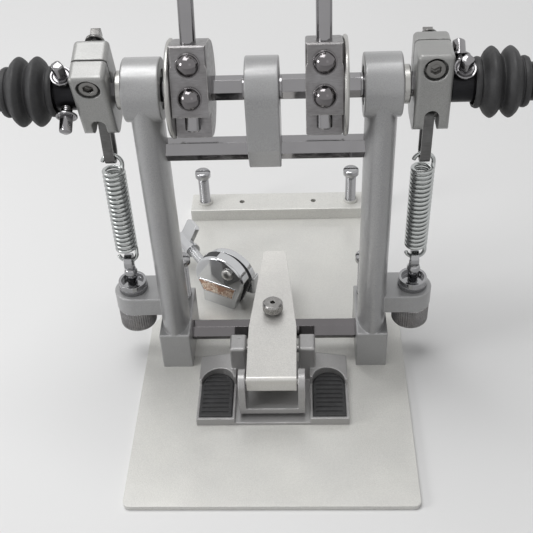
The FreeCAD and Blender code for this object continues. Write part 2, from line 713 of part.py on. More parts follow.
def shaft_collar():
    """Right-hand stop collar on the shaft's round part, and its set screw."""
    ring = rod_x((COLLAR_X, COLLAR_X + COLLAR_WIDTH), 0, SHAFT_HEIGHT, COLLAR_RADIUS)
    ring = ring.makeChamfer(COLLAR_EDGE, circle_edges(ring))
    bore = (COLLAR_X - OVERRUN, COLLAR_X + COLLAR_WIDTH + OVERRUN)
    ring = ring.cut(rod_x(bore, 0, SHAFT_HEIGHT, JOURNAL_RADIUS + SLIP_CLEARANCE))
    middle = COLLAR_X + COLLAR_WIDTH / 2
    screw_y = (-COLLAR_RADIUS, -JOURNAL_RADIUS - SLIP_CLEARANCE)
    hole_y = (screw_y[0] - OVERRUN, screw_y[1])
    ring = ring.cut(rod_y(middle, hole_y, SHAFT_HEIGHT, COLLAR_SCREW_RADIUS + SLIP_CLEARANCE))
    return [ring, rod_y(middle, screw_y, SHAFT_HEIGHT, COLLAR_SCREW_RADIUS)]


def spring_lever(slit):
    """Split clamp lever on the origin, with a fork below for the spring link."""
    half = LEVER_DEPTH / 2
    body = block(centred(LEVER_WIDTH), centred(LEVER_DEPTH), (-LEVER_BOTTOM, LEVER_TOP))
    body = body.makeFillet(LEVER_EDGE, line_edges(body, Z_AXIS) + edges_at_top(body))
    through = (-half - OVERRUN, half + OVERRUN)
    for corner in foot_corners(half):
        body = body.cut(corner)
    centre = -FORK_SLOT_TOP - FORK_SLOT / 2
    body = body.cut(block(centred(FORK_SLOT), through, (-LEVER_BOTTOM - OVERRUN, centre)))
    body = body.cut(rod_y(0, through, centre, FORK_SLOT / 2))
    slit_y = (slit - LEVER_SLIT / 2, slit + LEVER_SLIT / 2)
    body = body.cut(block(centred(LEVER_WIDTH + 2 * OVERRUN), slit_y, (0, LEVER_TOP + OVERRUN)))
    bore_y = (-half - OVERRUN, -half + LEVER_BORE_DEPTH)
    return body.cut(rod_y(0, bore_y, LEVER_SCREW_RISE, LEVER_BORE_RADIUS))


def foot_corners(half):
    """What rounding takes off a lever's lower front and rear corners."""
    wide = centred(LEVER_WIDTH + 2 * OVERRUN)
    low = -LEVER_BOTTOM
    corner = block(wide, (half - LEVER_FOOT_ROUND, half + OVERRUN), (low - OVERRUN, low + LEVER_FOOT_ROUND))
    rear = corner.cut(rod_x(wide, half - LEVER_FOOT_ROUND, low + LEVER_FOOT_ROUND, LEVER_FOOT_ROUND))
    return [rear, rear.mirror(ORIGIN, Y_AXIS)]


def lever_screw():
    """Socket screw that closes the lever on the shaft."""
    seat = -LEVER_DEPTH / 2 + LEVER_BORE_DEPTH
    head = rod_y(0, (seat - LEVER_SCREW_HEAD_HEIGHT, seat), LEVER_SCREW_RISE, LEVER_SCREW_HEAD_RADIUS)
    socket = hex_z(LEVER_SOCKET_FLATS, (0, LEVER_SOCKET_DEPTH + OVERRUN))
    mouth = V(0, seat - LEVER_SCREW_HEAD_HEIGHT + LEVER_SOCKET_DEPTH, LEVER_SCREW_RISE)
    head = head.cut(aimed(socket, mouth, V(0, -1, 0)))
    return head.fuse(rod_y(0, (seat, seat + LEVER_SCREW_LENGTH), LEVER_SCREW_RISE, LEVER_SCREW_RADIUS))


def key_bolt(bite, share=1.0):
    """Square-head bolt along Z: its flange sits on the origin's plane."""
    thread = rod_z(0, 0, (-bite, 0), BOLT_RADIUS * share)
    flange_top = BOLT_FLANGE * share
    flange = rod_z(0, 0, (0, flange_top), BOLT_FLANGE_RADIUS * share)
    square = centred(BOLT_SQUARE * share)
    head = block(square, square, (flange_top, flange_top + BOLT_SQUARE_HEIGHT * share))
    head = head.makeChamfer(BOLT_FLANGE * share / 2, edges_at_top(head))
    return thread.fuse([flange, head])


def index_bolt():
    """Key bolt on the lever's rear face."""
    bolt = key_bolt(INDEX_BOLT_BITE + INDEX_BOLT_STANDOFF, INDEX_BOLT_SHARE)
    return aimed(bolt, V(0, LEVER_DEPTH / 2 + INDEX_BOLT_STANDOFF, INDEX_BOLT_RISE), Y_AXIS)


def fork_pin():
    return rod_x(centred(FORK_PIN_LENGTH), 0, -FORK_PIN_DROP, FORK_PIN_RADIUS)


def lever_fasteners(side):
    """Clamp screw, index bolt and fork pin of one lever."""
    lean = LEVER_LEANS[side]
    x = SIDES[side] * LEVER_X
    return [on_shaft(piece, x, lean) for piece in (lever_screw(), index_bolt(), fork_pin())]


def fitted_lever(side):
    """A spring lever at its place, with holes for its shaft and fasteners."""
    x = SIDES[side] * LEVER_X
    lever = on_shaft(spring_lever(LEVER_SLIT_PLACES[side]), x, LEVER_LEANS[side])
    bore = (x - LEVER_WIDTH / 2 - OVERRUN, x + LEVER_WIDTH / 2 + OVERRUN)
    lever = lever.cut(shaft_bore(bore))
    for piece in lever_fasteners(side):
        lever = lever.cut(piece)
    return lever


def yoke(neck):
    """Collar, neck and two arms of a universal joint, along X from the origin."""
    collar = rod_x((0, JOINT_COLLAR_WIDTH), 0, 0, JOINT_RADIUS)
    collar = collar.makeFillet(JOINT_EDGE, circle_edges(collar))
    base_end = JOINT_COLLAR_WIDTH + neck
    base = rod_x((JOINT_COLLAR_WIDTH - JOINT_EDGE, base_end), 0, 0, JOINT_RADIUS - JOINT_NECK_INSET)
    arm_end = base_end + JOINT_REACH + YOKE_ARM_END
    body = collar.fuse(base)
    for height in ((YOKE_ARM_INNER, YOKE_ARM_OUTER), (-YOKE_ARM_OUTER, -YOKE_ARM_INNER)):
        arm = block((base_end - JOINT_EDGE, arm_end), centred(YOKE_ARM_WIDTH), height)
        body = body.fuse(arm.common(rod_x((0, arm_end + OVERRUN), 0, 0, JOINT_RADIUS - JOINT_NECK_INSET)))
    centre = base_end + JOINT_REACH
    pin_z = centred(2 * (YOKE_ARM_OUTER + OVERRUN))
    return body.cut(rod_z(centre, 0, pin_z, SPIDER_PIN_RADIUS + RUNNING_CLEARANCE))


def collar_bolts(side):
    """Two key bolts that hold a joint collar on its shaft."""
    bolts = []
    x = SIDES[side] * (JOINT_X + JOINT_COLLAR_WIDTH / 2)
    radius = JOINT_RADIUS + BOLT_STANDOFF
    bite = radius - HEX_RADIUS
    for degrees in BOLT_ANGLES[side]:
        angle = math.radians(degrees)
        outward = V(0, -math.cos(angle), math.sin(angle))
        bolts.append(aimed(key_bolt(bite), V(x, 0, SHAFT_HEIGHT) + outward * radius, outward))
    return bolts


def joint_collar(side):
    """Inner half of a universal joint, clamped on the shaft's end."""
    body = on_shaft(mirrored(yoke(JOINT_NECK), side), SIDES[side] * JOINT_X, 0)
    body = body.cut(mirrored(shaft_bore((JOINT_X - OVERRUN, JOINT_NECK_X)), side))
    for bolt in collar_bolts(side):
        body = body.cut(bolt)
    return body


def spider(side):
    """Cross of a universal joint: a cube with two pairs of trunnions."""
    centre = SIDES[side] * JOINT_CENTRE
    cube = block(centred(2 * SPIDER_HALF), centred(2 * SPIDER_HALF), centred(2 * SPIDER_HALF))
    pin = centred(2 * SPIDER_PIN_REACH)
    cross = cube.fuse([rod_y(0, pin, 0, SPIDER_PIN_RADIUS), rod_z(0, 0, pin, SPIDER_PIN_RADIUS)])
    return on_shaft(cross, centre, 0)


def outer_yoke(side):
    """Outer half of a universal joint, with the socket for a drive shaft."""
    body = yoke(JOINT_NECK)
    body = body.cut(rod_x((-OVERRUN, SOCKET_DEPTH), 0, 0, SOCKET_RADIUS))
    middle = JOINT_COLLAR_WIDTH / 2
    body = body.cut(rod_z(middle, 0, (0, JOINT_RADIUS + OVERRUN), SOCKET_TAP_RADIUS))
    body.rotate(ORIGIN, X_AXIS, 90)
    body.rotate(ORIGIN, Z_AXIS, 180)
    end = 2 * JOINT_CENTRE - JOINT_X
    return mirrored(on_shaft(body, end, 0), side)


def boot(side):
    """Ribbed rubber boot: four crests on a steady axis, with a stepped bore."""
    start = JOINT_NECK_X + BOOT_END_GAP
    length = 2 * (JOINT_CENTRE - start)
    rings = []
    x = start
    for index, share in enumerate(BOOT_WIDTH_SHARES):
        width = share * length
        crest = BOOT_CREST_RADII[index]
        radii = (BOOT_VALLEY_RADII[index], crest, crest, BOOT_VALLEY_RADII[index + 1])
        places = (0, BOOT_CREST_SHARES[0], BOOT_CREST_SHARES[1], 1)
        first = 1 if rings else 0
        for place, radius in list(zip(places, radii))[first:]:
            circle = Part.Circle(V(x + place * width, 0, SHAFT_HEIGHT), X_AXIS, radius)
            rings.append(Part.Wire(circle.toShape()))
        x += width
    body = Part.makeLoft(rings, True, True)
    lip = JOINT_NECK - BOOT_END_GAP
    body = body.cut(rod_x((start + lip, start + length - lip), 0, SHAFT_HEIGHT, BOOT_BORE))
    neck_bore = JOINT_RADIUS - JOINT_NECK_INSET + CLEAR_GAP
    body = body.cut(rod_x((start - OVERRUN, start + length + OVERRUN), 0, SHAFT_HEIGHT, neck_bore))
    return mirrored(body, side)


def biarc(start, leave, end, arrive):
    """Two arcs that join two points with a given direction at each."""
    chord = end - start
    both = leave + arrive
    spread = 2 * (1 - leave.dot(arrive))
    along = chord.dot(both)
    reach = (math.sqrt(along ** 2 + spread * chord.dot(chord)) - along) / spread
    first = start + leave * reach
    second = end - arrive * reach
    middle = (first + second) * 0.5
    return [tangent_arc(start, first, middle), tangent_arc(middle, second, end)]


def tangent_arc(start, corner, end):
    """Arc from one point to another, touching both lines to a corner point."""
    chord_middle = (start + end) * 0.5
    half = (end - start).Length / 2
    rise = (corner - chord_middle).Length
    radius = math.sqrt(half ** 2 + rise ** 2) * half / rise
    bulge = radius - math.sqrt(radius ** 2 - half ** 2)
    return Part.Arc(start, chord_middle + (corner - chord_middle) * (bulge / rise), end)


def spring_half():
    """Places and directions along the lower half of a spring, hook first."""
    knots = []
    quarters = (HOOK_START_ANGLE, 270.0, 360.0)
    for degrees in quarters:
        angle = math.radians(degrees)
        place = V(SPRING_RADIUS * math.cos(angle), 0, SPRING_RADIUS * math.sin(angle))
        knots.append((place, V(-math.sin(angle), 0, math.cos(angle))))
    turn = 360.0 * SPRING_TURNS - 2 * SPRING_LEAD_ANGLE
    rise = SPRING_SPAN - 2 * SPRING_RISE
    steps = 4 * SPRING_TURNS
    slope = rise / math.radians(turn)
    for step in range(steps // 2 + 1):
        angle = math.radians(SPRING_LEAD_ANGLE + turn * step / steps)
        height = SPRING_RISE + rise * step / steps
        place = V(SPRING_RADIUS * math.cos(angle), SPRING_RADIUS * math.sin(angle), height)
        along = V(-SPRING_RADIUS * math.sin(angle), SPRING_RADIUS * math.cos(angle), slope)
        knots.append((place, along.normalize()))
    return knots


def spring_edges():
    """Straight end, hook, turns, hook and straight end of a spring, as one path."""
    lower = spring_half()
    turned = [(V(p.x, -p.y, SPRING_SPAN - p.z), V(-d.x, d.y, d.z)) for p, d in reversed(lower)]
    knots = lower + turned[1:]
    first, last = knots[0], knots[-1]
    edges = [Part.LineSegment(first[0] - first[1] * SPRING_WIRE, first[0])]
    for (start, leave), (end, arrive) in zip(knots, knots[1:]):
        edges += biarc(start, leave, end, arrive)
    edges.append(Part.LineSegment(last[0], last[0] + last[1] * SPRING_WIRE))
    return [edge.toShape() for edge in edges]


def least_gap(edges):
    """Smallest gap between stretches of wire that are over half a turn apart."""
    points = []
    walked = []
    length = 0
    for edge in edges:
        span = edge.LastParameter - edge.FirstParameter
        for share in SPRING_TEST_SHARES:
            points.append(edge.valueAt(edge.FirstParameter + share * span))
            walked.append(length + share * edge.Length)
        length += edge.Length
    apart = math.pi * SPRING_RADIUS
    gaps = []
    for index, point in enumerate(points):
        for other in range(index + 1, len(points)):
            if walked[other] - walked[index] > apart:
                gaps.append((point - points[other]).Length)
    return min(gaps) - SPRING_WIRE


def spring_solid():
    """Extension spring along Z, its lower hook ring centred on the origin."""
    edges = spring_edges()
    print("spring least gap to itself", round(least_gap(edges), 3))
    path = Part.Wire(edges)
    start = edges[0].valueAt(edges[0].FirstParameter)
    section = Part.Circle(start, edges[0].tangentAt(edges[0].FirstParameter), SPRING_WIRE / 2)
    pipe = Part.BRepOffsetAPI.MakePipeShell(path)
    pipe.add(Part.Wire(section.toShape()))
    pipe.build()
    pipe.makeSolid()
    return pipe.shape()


def fork_place(side):
    """Centre of a lever's fork pin at rest."""
    lean = math.radians(LEVER_LEANS[side])
    x = SIDES[side] * LEVER_X
    return V(x, FORK_PIN_DROP * math.sin(lean), SHAFT_HEIGHT - FORK_PIN_DROP * math.cos(lean))


def spring_foot(side):
    """Centre of a spring's lower hook ring."""
    return V(SIDES[side] * SPRING_X, SPRING_Y, SPRING_FOOT_HEIGHT)


def on_spring(shape, side):
    """Set a piece that stands on the origin along the line of a spring."""
    foot = spring_foot(side)
    return aimed(shape, foot, fork_place(side) - foot)


def obround(radius, bottom, top):
    """Flat shape with round ends in the YZ plane, swept over the link's width."""
    half = LINK_WIDTH / 2
    body = block((-half, half), (-radius, radius), (bottom, top))
    ends = [rod_x((-half, half), 0, height, radius) for height in (bottom, top)]
    return body.fuse(ends).removeSplitter()


def link(side):
    """Strap loop between the fork pin and the spring's upper hook."""
    reach = (fork_place(side) - spring_foot(side)).Length
    top = reach + FORK_PIN_RADIUS + CLEAR_GAP - LINK_INNER
    bottom = SPRING_SPAN + SPRING_RADIUS - LINK_RING_DROP + LINK_INNER
    loop = obround(LINK_INNER + LINK_THICKNESS, bottom, top).cut(obround(LINK_INNER, bottom, top))
    return on_spring(loop, side)


def eyebolt(side):
    """Bolt with a flat eye that the spring hooks into."""
    foot = spring_foot(side)
    eye_z = foot.z - EYE_DROP
    eye_x = (foot.x - EYE_THICKNESS / 2, foot.x + EYE_THICKNESS / 2)
    stem = rod_z(foot.x, foot.y, (EYEBOLT_END, eye_z - EYE_INNER), EYEBOLT_RADIUS)
    body = stem.fuse(rod_x(eye_x, foot.y, eye_z, EYE_OUTER))
    hole_x = (eye_x[0] - OVERRUN, eye_x[1] + OVERRUN)
    return body.cut(rod_x(hole_x, foot.y, eye_z, EYE_INNER))


def spring_nuts(side):
    """Cup nut above the arm and knob nut below it."""
    foot = spring_foot(side)
    cup_top = ARM_TOP + CUP_NUT_HEIGHT
    arm_bottom = ARM_TOP - ARM_THICKNESS
    cup = rod_z(foot.x, foot.y, (ARM_TOP, cup_top), CUP_NUT_RADIUS)
    dish = (cup_top - CUP_NUT_DISH_DEPTH, cup_top + OVERRUN)
    cup = cup.cut(rod_z(foot.x, foot.y, dish, CUP_NUT_DISH_RADIUS))
    knob = rod_z(foot.x, foot.y, (arm_bottom - KNOB_NUT_HEIGHT, arm_bottom), KNOB_NUT_RADIUS)
    knob = knob.makeChamfer(KNOB_NUT_EDGE, circle_edges(knob))
    bore_z = (arm_bottom - KNOB_NUT_HEIGHT - OVERRUN, cup_top + OVERRUN)
    bore = rod_z(foot.x, foot.y, bore_z, EYEBOLT_RADIUS + RUNNING_CLEARANCE)
    return [cup.cut(bore), knob.cut(bore)]


def clamp_base():
    """Clamp casting: deck, two pad seats with walls behind them, and two pillars."""
    deck_top = PLATE_THICKNESS + CLAMP_DECK
    deck = block(centred(CLAMP_WIDTH), (-CLAMP_FRONT, -CLAMP_BACK), (PLATE_THICKNESS, deck_top))
    seat_x = (PAD_X - PAD_RADIUS - PAD_RIM, CLAMP_WIDTH / 2)
    rim_top = PLATE_THICKNESS + PAD_RIM_HEIGHT
    wall_top = PLATE_THICKNESS + WALL_HEIGHT
    pillar_x = (PILLAR_INNER, PILLAR_INNER + PILLAR_WIDTH)
    pillar_y = (-PILLAR_FRONT, -PILLAR_FRONT + PILLAR_DEPTH)
    pillar = block(pillar_x, pillar_y, (PLATE_THICKNESS, PLATE_THICKNESS + PILLAR_HEIGHT))
    pillar = pillar.makeFillet(PILLAR_EDGE, line_edges(pillar, Z_AXIS) + edges_at_top(pillar))
    wall = sloped_wall(seat_x, pillar_x[1], wall_top)
    rim = block(seat_x, (-CLAMP_FRONT, -WALL_FRONT), (PLATE_THICKNESS, rim_top))
    half = wall.fuse([rim, pillar])
    half = half.cut(pad_outline((PLATE_THICKNESS + PAD_SEAT, wall_top + OVERRUN), SLIP_CLEARANCE))
    bore_x = (PILLAR_INNER - OVERRUN, PILLAR_INNER + PILLAR_WIDTH + OVERRUN)
    half = half.cut(rod_x(bore_x, -PIVOT_SETOUT, PIVOT_HEIGHT, CLAMP_PIN_RADIUS + RUNNING_CLEARANCE))
    casting = deck.fuse([mirrored(half, side) for side in SIDES]).removeSplitter()
    return casting.cut(screw_holes(PLATE_THICKNESS - OVERRUN, SCREW_RADIUS + SLIP_CLEARANCE))


def sloped_wall(x, level_end, top):
    """Wall behind the right-hand pad: level by the pillar, then falling outward."""
    outline = [(x[0], PLATE_THICKNESS), (x[0], top), (level_end, top), (x[1], top - WALL_DROP), (x[1], PLATE_THICKNESS)]
    wall = prism([V(across, -WALL_FRONT, height) for across, height in outline], V(0, WALL_FRONT - WALL_BACK, 0))
    outer = [edge for edge in line_edges(wall, Z_AXIS) if edge.BoundBox.XMin > PAD_X]
    return wall.makeFillet(PILLAR_EDGE, outer)


def pad_outline(z, extra):
    """Right-hand pad's outline between two heights: square in front, round at the back."""
    radius = PAD_RADIUS + extra
    centre_y = -PAD_BACK - PAD_RADIUS
    front = block((PAD_X - radius, PAD_X + radius), (-PAD_FRONT - extra, centre_y), z)
    return front.fuse(rod_z(PAD_X, centre_y, z, radius))


def clamp_pads():
    """Ribbed rubber pads, one on each seat."""
    seat = PLATE_THICKNESS + PAD_SEAT
    top = seat + PAD_THICKNESS
    pad = pad_outline((seat, top), 0)
    pitch = (PAD_FRONT - PAD_BACK) / (PAD_RIBS + 1)
    groove = pitch * PAD_GROOVE_SHARE
    groove_x = (PAD_X - PAD_RADIUS - OVERRUN, PAD_X + PAD_RADIUS + OVERRUN)
    for rib in range(PAD_RIBS):
        middle = -PAD_FRONT + pitch * (rib + 1)
        groove_y = (middle - groove / 2, middle + groove / 2)
        pad = pad.cut(block(groove_x, groove_y, (top - PAD_GROOVE_DEPTH, top + OVERRUN)))
    return [mirrored(pad, side) for side in SIDES]


def clamp_lever():
    """Clamp lever: flat tapered plate with a front lip and two pivot lugs below."""
    under = LEVER_PLATE_TOP - LEVER_PLATE_THICKNESS
    half = LEVER_PLATE_WIDTH / 2
    tail = LEVER_TAIL_WIDTH / 2
    right = [(half, -LEVER_PLATE_FRONT), (half, -LEVER_PLATE_KINK), (tail, LEVER_PLATE_TAIL)]
    left = [(-x, y) for x, y in reversed(right)]
    plate = prism([V(x, y, under) for x, y in right + left], V(0, 0, LEVER_PLATE_THICKNESS))
    corners = [edge for edge in line_edges(plate, Z_AXIS) if edge.BoundBox.YMin > 0]
    plate = plate.makeFillet(LEVER_TAIL_CORNER, corners)
    lip_y = (-LEVER_PLATE_FRONT, -LEVER_PLATE_FRONT + LEVER_LIP_DEPTH)
    lip = block(centred(LEVER_PLATE_WIDTH), lip_y, (LEVER_PLATE_TOP - LEVER_LIP_HEIGHT, LEVER_PLATE_TOP))
    body = plate.fuse(lip).removeSplitter()
    front = [e for e in line_edges(body, X_AXIS) if e.BoundBox.YMax < SLIP_CLEARANCE - LEVER_PLATE_FRONT]
    body = body.makeFillet(LEVER_LIP_ROUND, front)
    for lug_x in ((half - LUG_WIDTH, half), (-half, LUG_WIDTH - half)):
        lug = rod_x(lug_x, -PIVOT_SETOUT, PIVOT_HEIGHT, LUG_RADIUS)
        web = block(lug_x, (-PIVOT_SETOUT - LUG_RADIUS, -PIVOT_SETOUT + LUG_RADIUS), (PIVOT_HEIGHT, under))
        body = body.fuse([lug, web])
    for pin in clamp_pins(SLIP_CLEARANCE):
        body = body.cut(pin)
    hole = (under - OVERRUN, LEVER_PLATE_TOP + OVERRUN)
    return body.cut(rod_z(0, 0, hole, JACK_RADIUS + RUNNING_CLEARANCE))


def clamp_pins(extra=0):
    """Pivot pin in the pillars and the pin that carries the foot."""
    radius = CLAMP_PIN_RADIUS + extra
    pivot = rod_x(centred(PIVOT_PIN_LENGTH), -PIVOT_SETOUT, PIVOT_HEIGHT, radius)
    return [pivot, rod_x(centred(FOOT_PIN_LENGTH), -FOOT_PIN_SETOUT, FOOT_PIN_HEIGHT, radius)]


def clamp_foot():
    """Swivel foot: a floor between two ears that hang on the lever's front pin."""
    outer = FOOT_EAR_INNER + FOOT_EAR_THICKNESS
    depth = (-FOOT_PIN_SETOUT - FOOT_DEPTH / 2, -FOOT_PIN_SETOUT + FOOT_DEPTH / 2)
    bottom = FOOT_PIN_HEIGHT - FOOT_HEIGHT
    body = block(centred(2 * outer), depth, (bottom, bottom + FOOT_FLOOR))
    for ear_x in ((FOOT_EAR_INNER, outer), (-outer, -FOOT_EAR_INNER)):
        ear = block(ear_x, depth, (bottom, FOOT_PIN_HEIGHT))
        body = body.fuse([ear, rod_x(ear_x, -FOOT_PIN_SETOUT, FOOT_PIN_HEIGHT, FOOT_EAR_RADIUS)])
    bore = centred(2 * (outer + OVERRUN))
    return body.cut(rod_x(bore, -FOOT_PIN_SETOUT, FOOT_PIN_HEIGHT, CLAMP_PIN_RADIUS + RUNNING_CLEARANCE))


def clamp_screw():
    """Jack screw through the lever that bears on the lower crossbar."""
    tip = LOWER_BAR_HEIGHT + HEX_FLATS / 2 + CLEAR_GAP
    head_bottom = LEVER_PLATE_TOP + JACK_HEAD_LIFT
    head_top = head_bottom + JACK_HEAD_HEIGHT
    head = rod_z(0, 0, (head_bottom, head_top), JACK_HEAD_RADIUS)
    head = head.makeChamfer(JACK_HEAD_EDGE, circle_edges(head))
    head = head.cut(hex_z(JACK_SOCKET_FLATS, (head_top - JACK_SOCKET_DEPTH, head_top + OVERRUN)))
    return head.fuse(rod_z(0, 0, (tip, head_bottom), JACK_RADIUS))


def on_clip(shape):
    """Set a clip piece at its corner on the plate."""
    placed = shape.copy()
    placed.rotate(ORIGIN, Z_AXIS, CLIP_TURN)
    placed.translate(V(CLIP_CORNER_X, CLIP_CORNER_Y, PLATE_THICKNESS))
    return placed


def clip_cheek(depth, drop):
    """Upright plate of the clip between two depths, with a round top lowered by a drop."""
    y = depth[0]
    corners = [
        V(CLIP_FOOT_WIDTH, y, 0),
        V(0, y, 0),
        V(0, y, CLIP_FOOT_HEIGHT),
        V(-CLIP_CHEEK_LEFT, y, CLIP_CHEEK_LEFT_HEIGHT - drop),
    ]
    top = V(CLIP_CHEEK_MIDDLE, y, CLIP_CHEEK_TOP - drop)
    right = V(CLIP_CHEEK_RIGHT, y, CLIP_CHEEK_RIGHT_HEIGHT - drop)
    edges = [Part.LineSegment(a, b).toShape() for a, b in zip(corners, corners[1:])]
    edges.append(Part.Arc(corners[-1], top, right).toShape())
    edges.append(Part.LineSegment(right, corners[0]).toShape())
    return Part.Face(Part.Wire(edges)).extrude(V(0, depth[1] - depth[0], 0))


def clip_body():
    """Front half of the clip: an upright cheek with a window and a rivet head."""
    body = clip_cheek((0, CLIP_CHEEK), 0)
    front = [e for e in body.Edges if e.BoundBox.YMax < SLIP_CLEARANCE and e.BoundBox.ZMax > CLIP_EDGE]
    body = body.makeFillet(CLIP_EDGE, front)
    window_x = (CLIP_WINDOW_RIM, CLIP_FOOT_WIDTH)
    window_z = (CLIP_FOOT_HEIGHT, CLIP_FOOT_HEIGHT + CLIP_WINDOW)
    window = block(window_x, (-OVERRUN, CLIP_WINDOW_DEPTH), window_z)
    body = body.cut(window.makeFillet(CLIP_WINDOW_RIM, line_edges(window, Y_AXIS)))
    rivet = rod_y(CLIP_RIVET_X, (-CLIP_RIVET_DOME, CLIP_CHEEK / 2), CLIP_RIVET_HEIGHT, CLIP_RIVET_RADIUS)
    return body.fuse(rivet)


def clip_lining():
    """Rubber strip between the two halves of the clip."""
    return clip_cheek((CLIP_CHEEK, CLIP_CHEEK + CLIP_LINING), CLIP_LINING_DROP)


def clip_jaw():
    """Rear half of the clip, with a low lip at one end."""
    start = CLIP_CHEEK + CLIP_LINING
    back = start + CLIP_JAW
    jaw = clip_cheek((start, back), CLIP_JAW_DROP)
    lip_y = (start + CLIP_JAW / 2, back + CLIP_LIP_DEPTH)
    lip = block((CLIP_LIP_START, CLIP_LIP_END), lip_y, (CLIP_LIP_BOTTOM, CLIP_LIP_TOP))
    lip = lip.makeFillet(CLIP_EDGE, line_edges(lip, Z_AXIS) + edges_at_top(lip))
    return jaw.fuse(lip)


def clip_screw():
    """T-screw of the clip along Z from the origin: thread, flange, hub and two wings."""
    hub_start = CLIP_THREAD_BITE + CLIP_THREAD_LENGTH
    hub_end = hub_start + CLIP_HUB_LENGTH
    thread = rod_z(0, 0, (0, hub_start), CLIP_THREAD_RADIUS)
    flange = rod_z(0, 0, (hub_start, hub_start + CLIP_FLANGE), CLIP_FLANGE_RADIUS)
    wing_z = (hub_end - CLIP_WING_LENGTH, hub_end)
    wing = block(centred(CLIP_WING_SPAN), centred(CLIP_WING_THICKNESS), wing_z)
    wing = wing.makeFillet(CLIP_WING_CORNER, line_edges(wing, Y_AXIS))
    wing.rotate(ORIGIN, Z_AXIS, CLIP_WING_TURN)
    return thread.fuse([flange, rod_z(0, 0, (hub_start, hub_end), CLIP_HUB_RADIUS), wing])


def clip_screw_line():
    """Place and direction of the T-screw's axis."""
    azimuth = math.radians(CLIP_SCREW_AZIMUTH)
    outward = V(math.cos(azimuth), math.sin(azimuth), 0)
    middle = CLIP_CHEEK + CLIP_LINING / 2
    place = on_clip(Part.Vertex(CLIP_SCREW_X, middle, CLIP_SCREW_RISE)).Point
    return place - outward * CLIP_THREAD_BITE, outward


def clip_pieces():
    """Body, lining, jaw and T-screw of the clip, in place."""
    place, outward = clip_screw_line()
    length = CLIP_THREAD_BITE + CLIP_THREAD_LENGTH
    bore = Part.makeCylinder(CLIP_THREAD_RADIUS + CLEAR_GAP, length, place - outward * CLEAR_GAP, outward)
    pieces = {"clip_screw": aimed(clip_screw(), place, outward)}
    fixed = (("clip_body", clip_body()), ("clip_lining", clip_lining()), ("clip_jaw", clip_jaw()))
    for name, shape in fixed:
        pieces[name] = on_clip(shape).cut(bore)
    return pieces


def frame_nodes():
    """Fixed pieces."""
    right_post = post()
    nodes = {
        "base_plate": base_plate(),
        "rear_bar": rear_bar(),
        "left_post": mirrored(right_post, "left"),
        "right_post": right_post,
        "lower_crossbar": crossbar(LOWER_BAR_HEIGHT),
        "upper_crossbar": crossbar(UPPER_BAR_HEIGHT),
        "centre_block": centre_block(),
        "shaft_bearings": shaft_bearings(),
        "frame_screws": frame_screws(),
        "clamp_base": clamp_base(),
        "clamp_pads": clamp_pads(),
    }
    nodes.update(clip_pieces())
    return nodes


def moving_nodes():
    """Hoop clamp and spurs."""
    nodes = {
        "clamp_lever": clamp_lever(),
        "clamp_pins": clamp_pins(),
        "clamp_foot": clamp_foot(),
        "clamp_screw": clamp_screw(),
    }
    for name, (x, y, top) in spur_places().items():
        nodes[name] = spur(x, y, top)
    return nodes


def hub_nodes(side):
    """Hub, disc, rod screws and beater of one side."""
    x = HUB_PLACES[side]
    bore = shaft_bore((x - HUB_RADIUS, x + HUB_RADIUS))
    return {
        "hub": on_shaft(hub(), x, HUB_LEAN).cut(bore),
        "hub_disc": on_shaft(mirrored(hub_disc(), side), x, HUB_LEAN).cut(bore),
        "rod_screws": [on_shaft(screw, x, HUB_LEAN) for screw in rod_screws()],
        "beater_rod": on_shaft(beater_rod(), x, HUB_LEAN),
        "beater_head": on_shaft(beater_head(), x, HUB_LEAN),
    }


def side_nodes(side, spring):
    """Everything on one shaft, and its spring."""
    nodes = hub_nodes(side)
    nodes.update({
        "shaft": mirrored(shaft(), side),
        "shaft_collar": [mirrored(piece, side) for piece in shaft_collar()],
        "spring_lever": fitted_lever(side),
        "lever_fasteners": lever_fasteners(side),
        "joint_collar": joint_collar(side),
        "collar_bolts": collar_bolts(side),
        "joint_spider": spider(side),
        "outer_yoke": outer_yoke(side),
        "boot": boot(side),
        "spring": on_spring(spring, side),
        "spring_link": link(side),
        "eyebolt": eyebolt(side),
        "spring_nuts": spring_nuts(side),
    })
    return {side + "_" + name: shape for name, shape in nodes.items()}


def save(name, shape):
    """Write one node, a group of solids where it holds several."""
    if isinstance(shape, list):
        shape = Part.makeCompound(shape)
    if not shape.isValid():
        print("invalid", name)
    print(name, len(shape.Solids), round(shape.Volume, 1))
    shape.exportStep("parts/" + name + ".step")


def main():
    os.makedirs("parts", exist_ok=True)
    nodes = frame_nodes()
    nodes.update(moving_nodes())
    spring = spring_solid()
    for side in SIDES:
        nodes.update(side_nodes(side, spring))
    for name, shape in nodes.items():
        save(name, shape)
    print(len(nodes), "nodes")


main()
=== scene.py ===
"""Looks of the double bass drum pedal's centre unit, in metres, in the frame of its solids."""
import bpy
import json
import math
from collections import namedtuple
from mathutils import Matrix, Vector
from mathutils import noise as smooth_noise

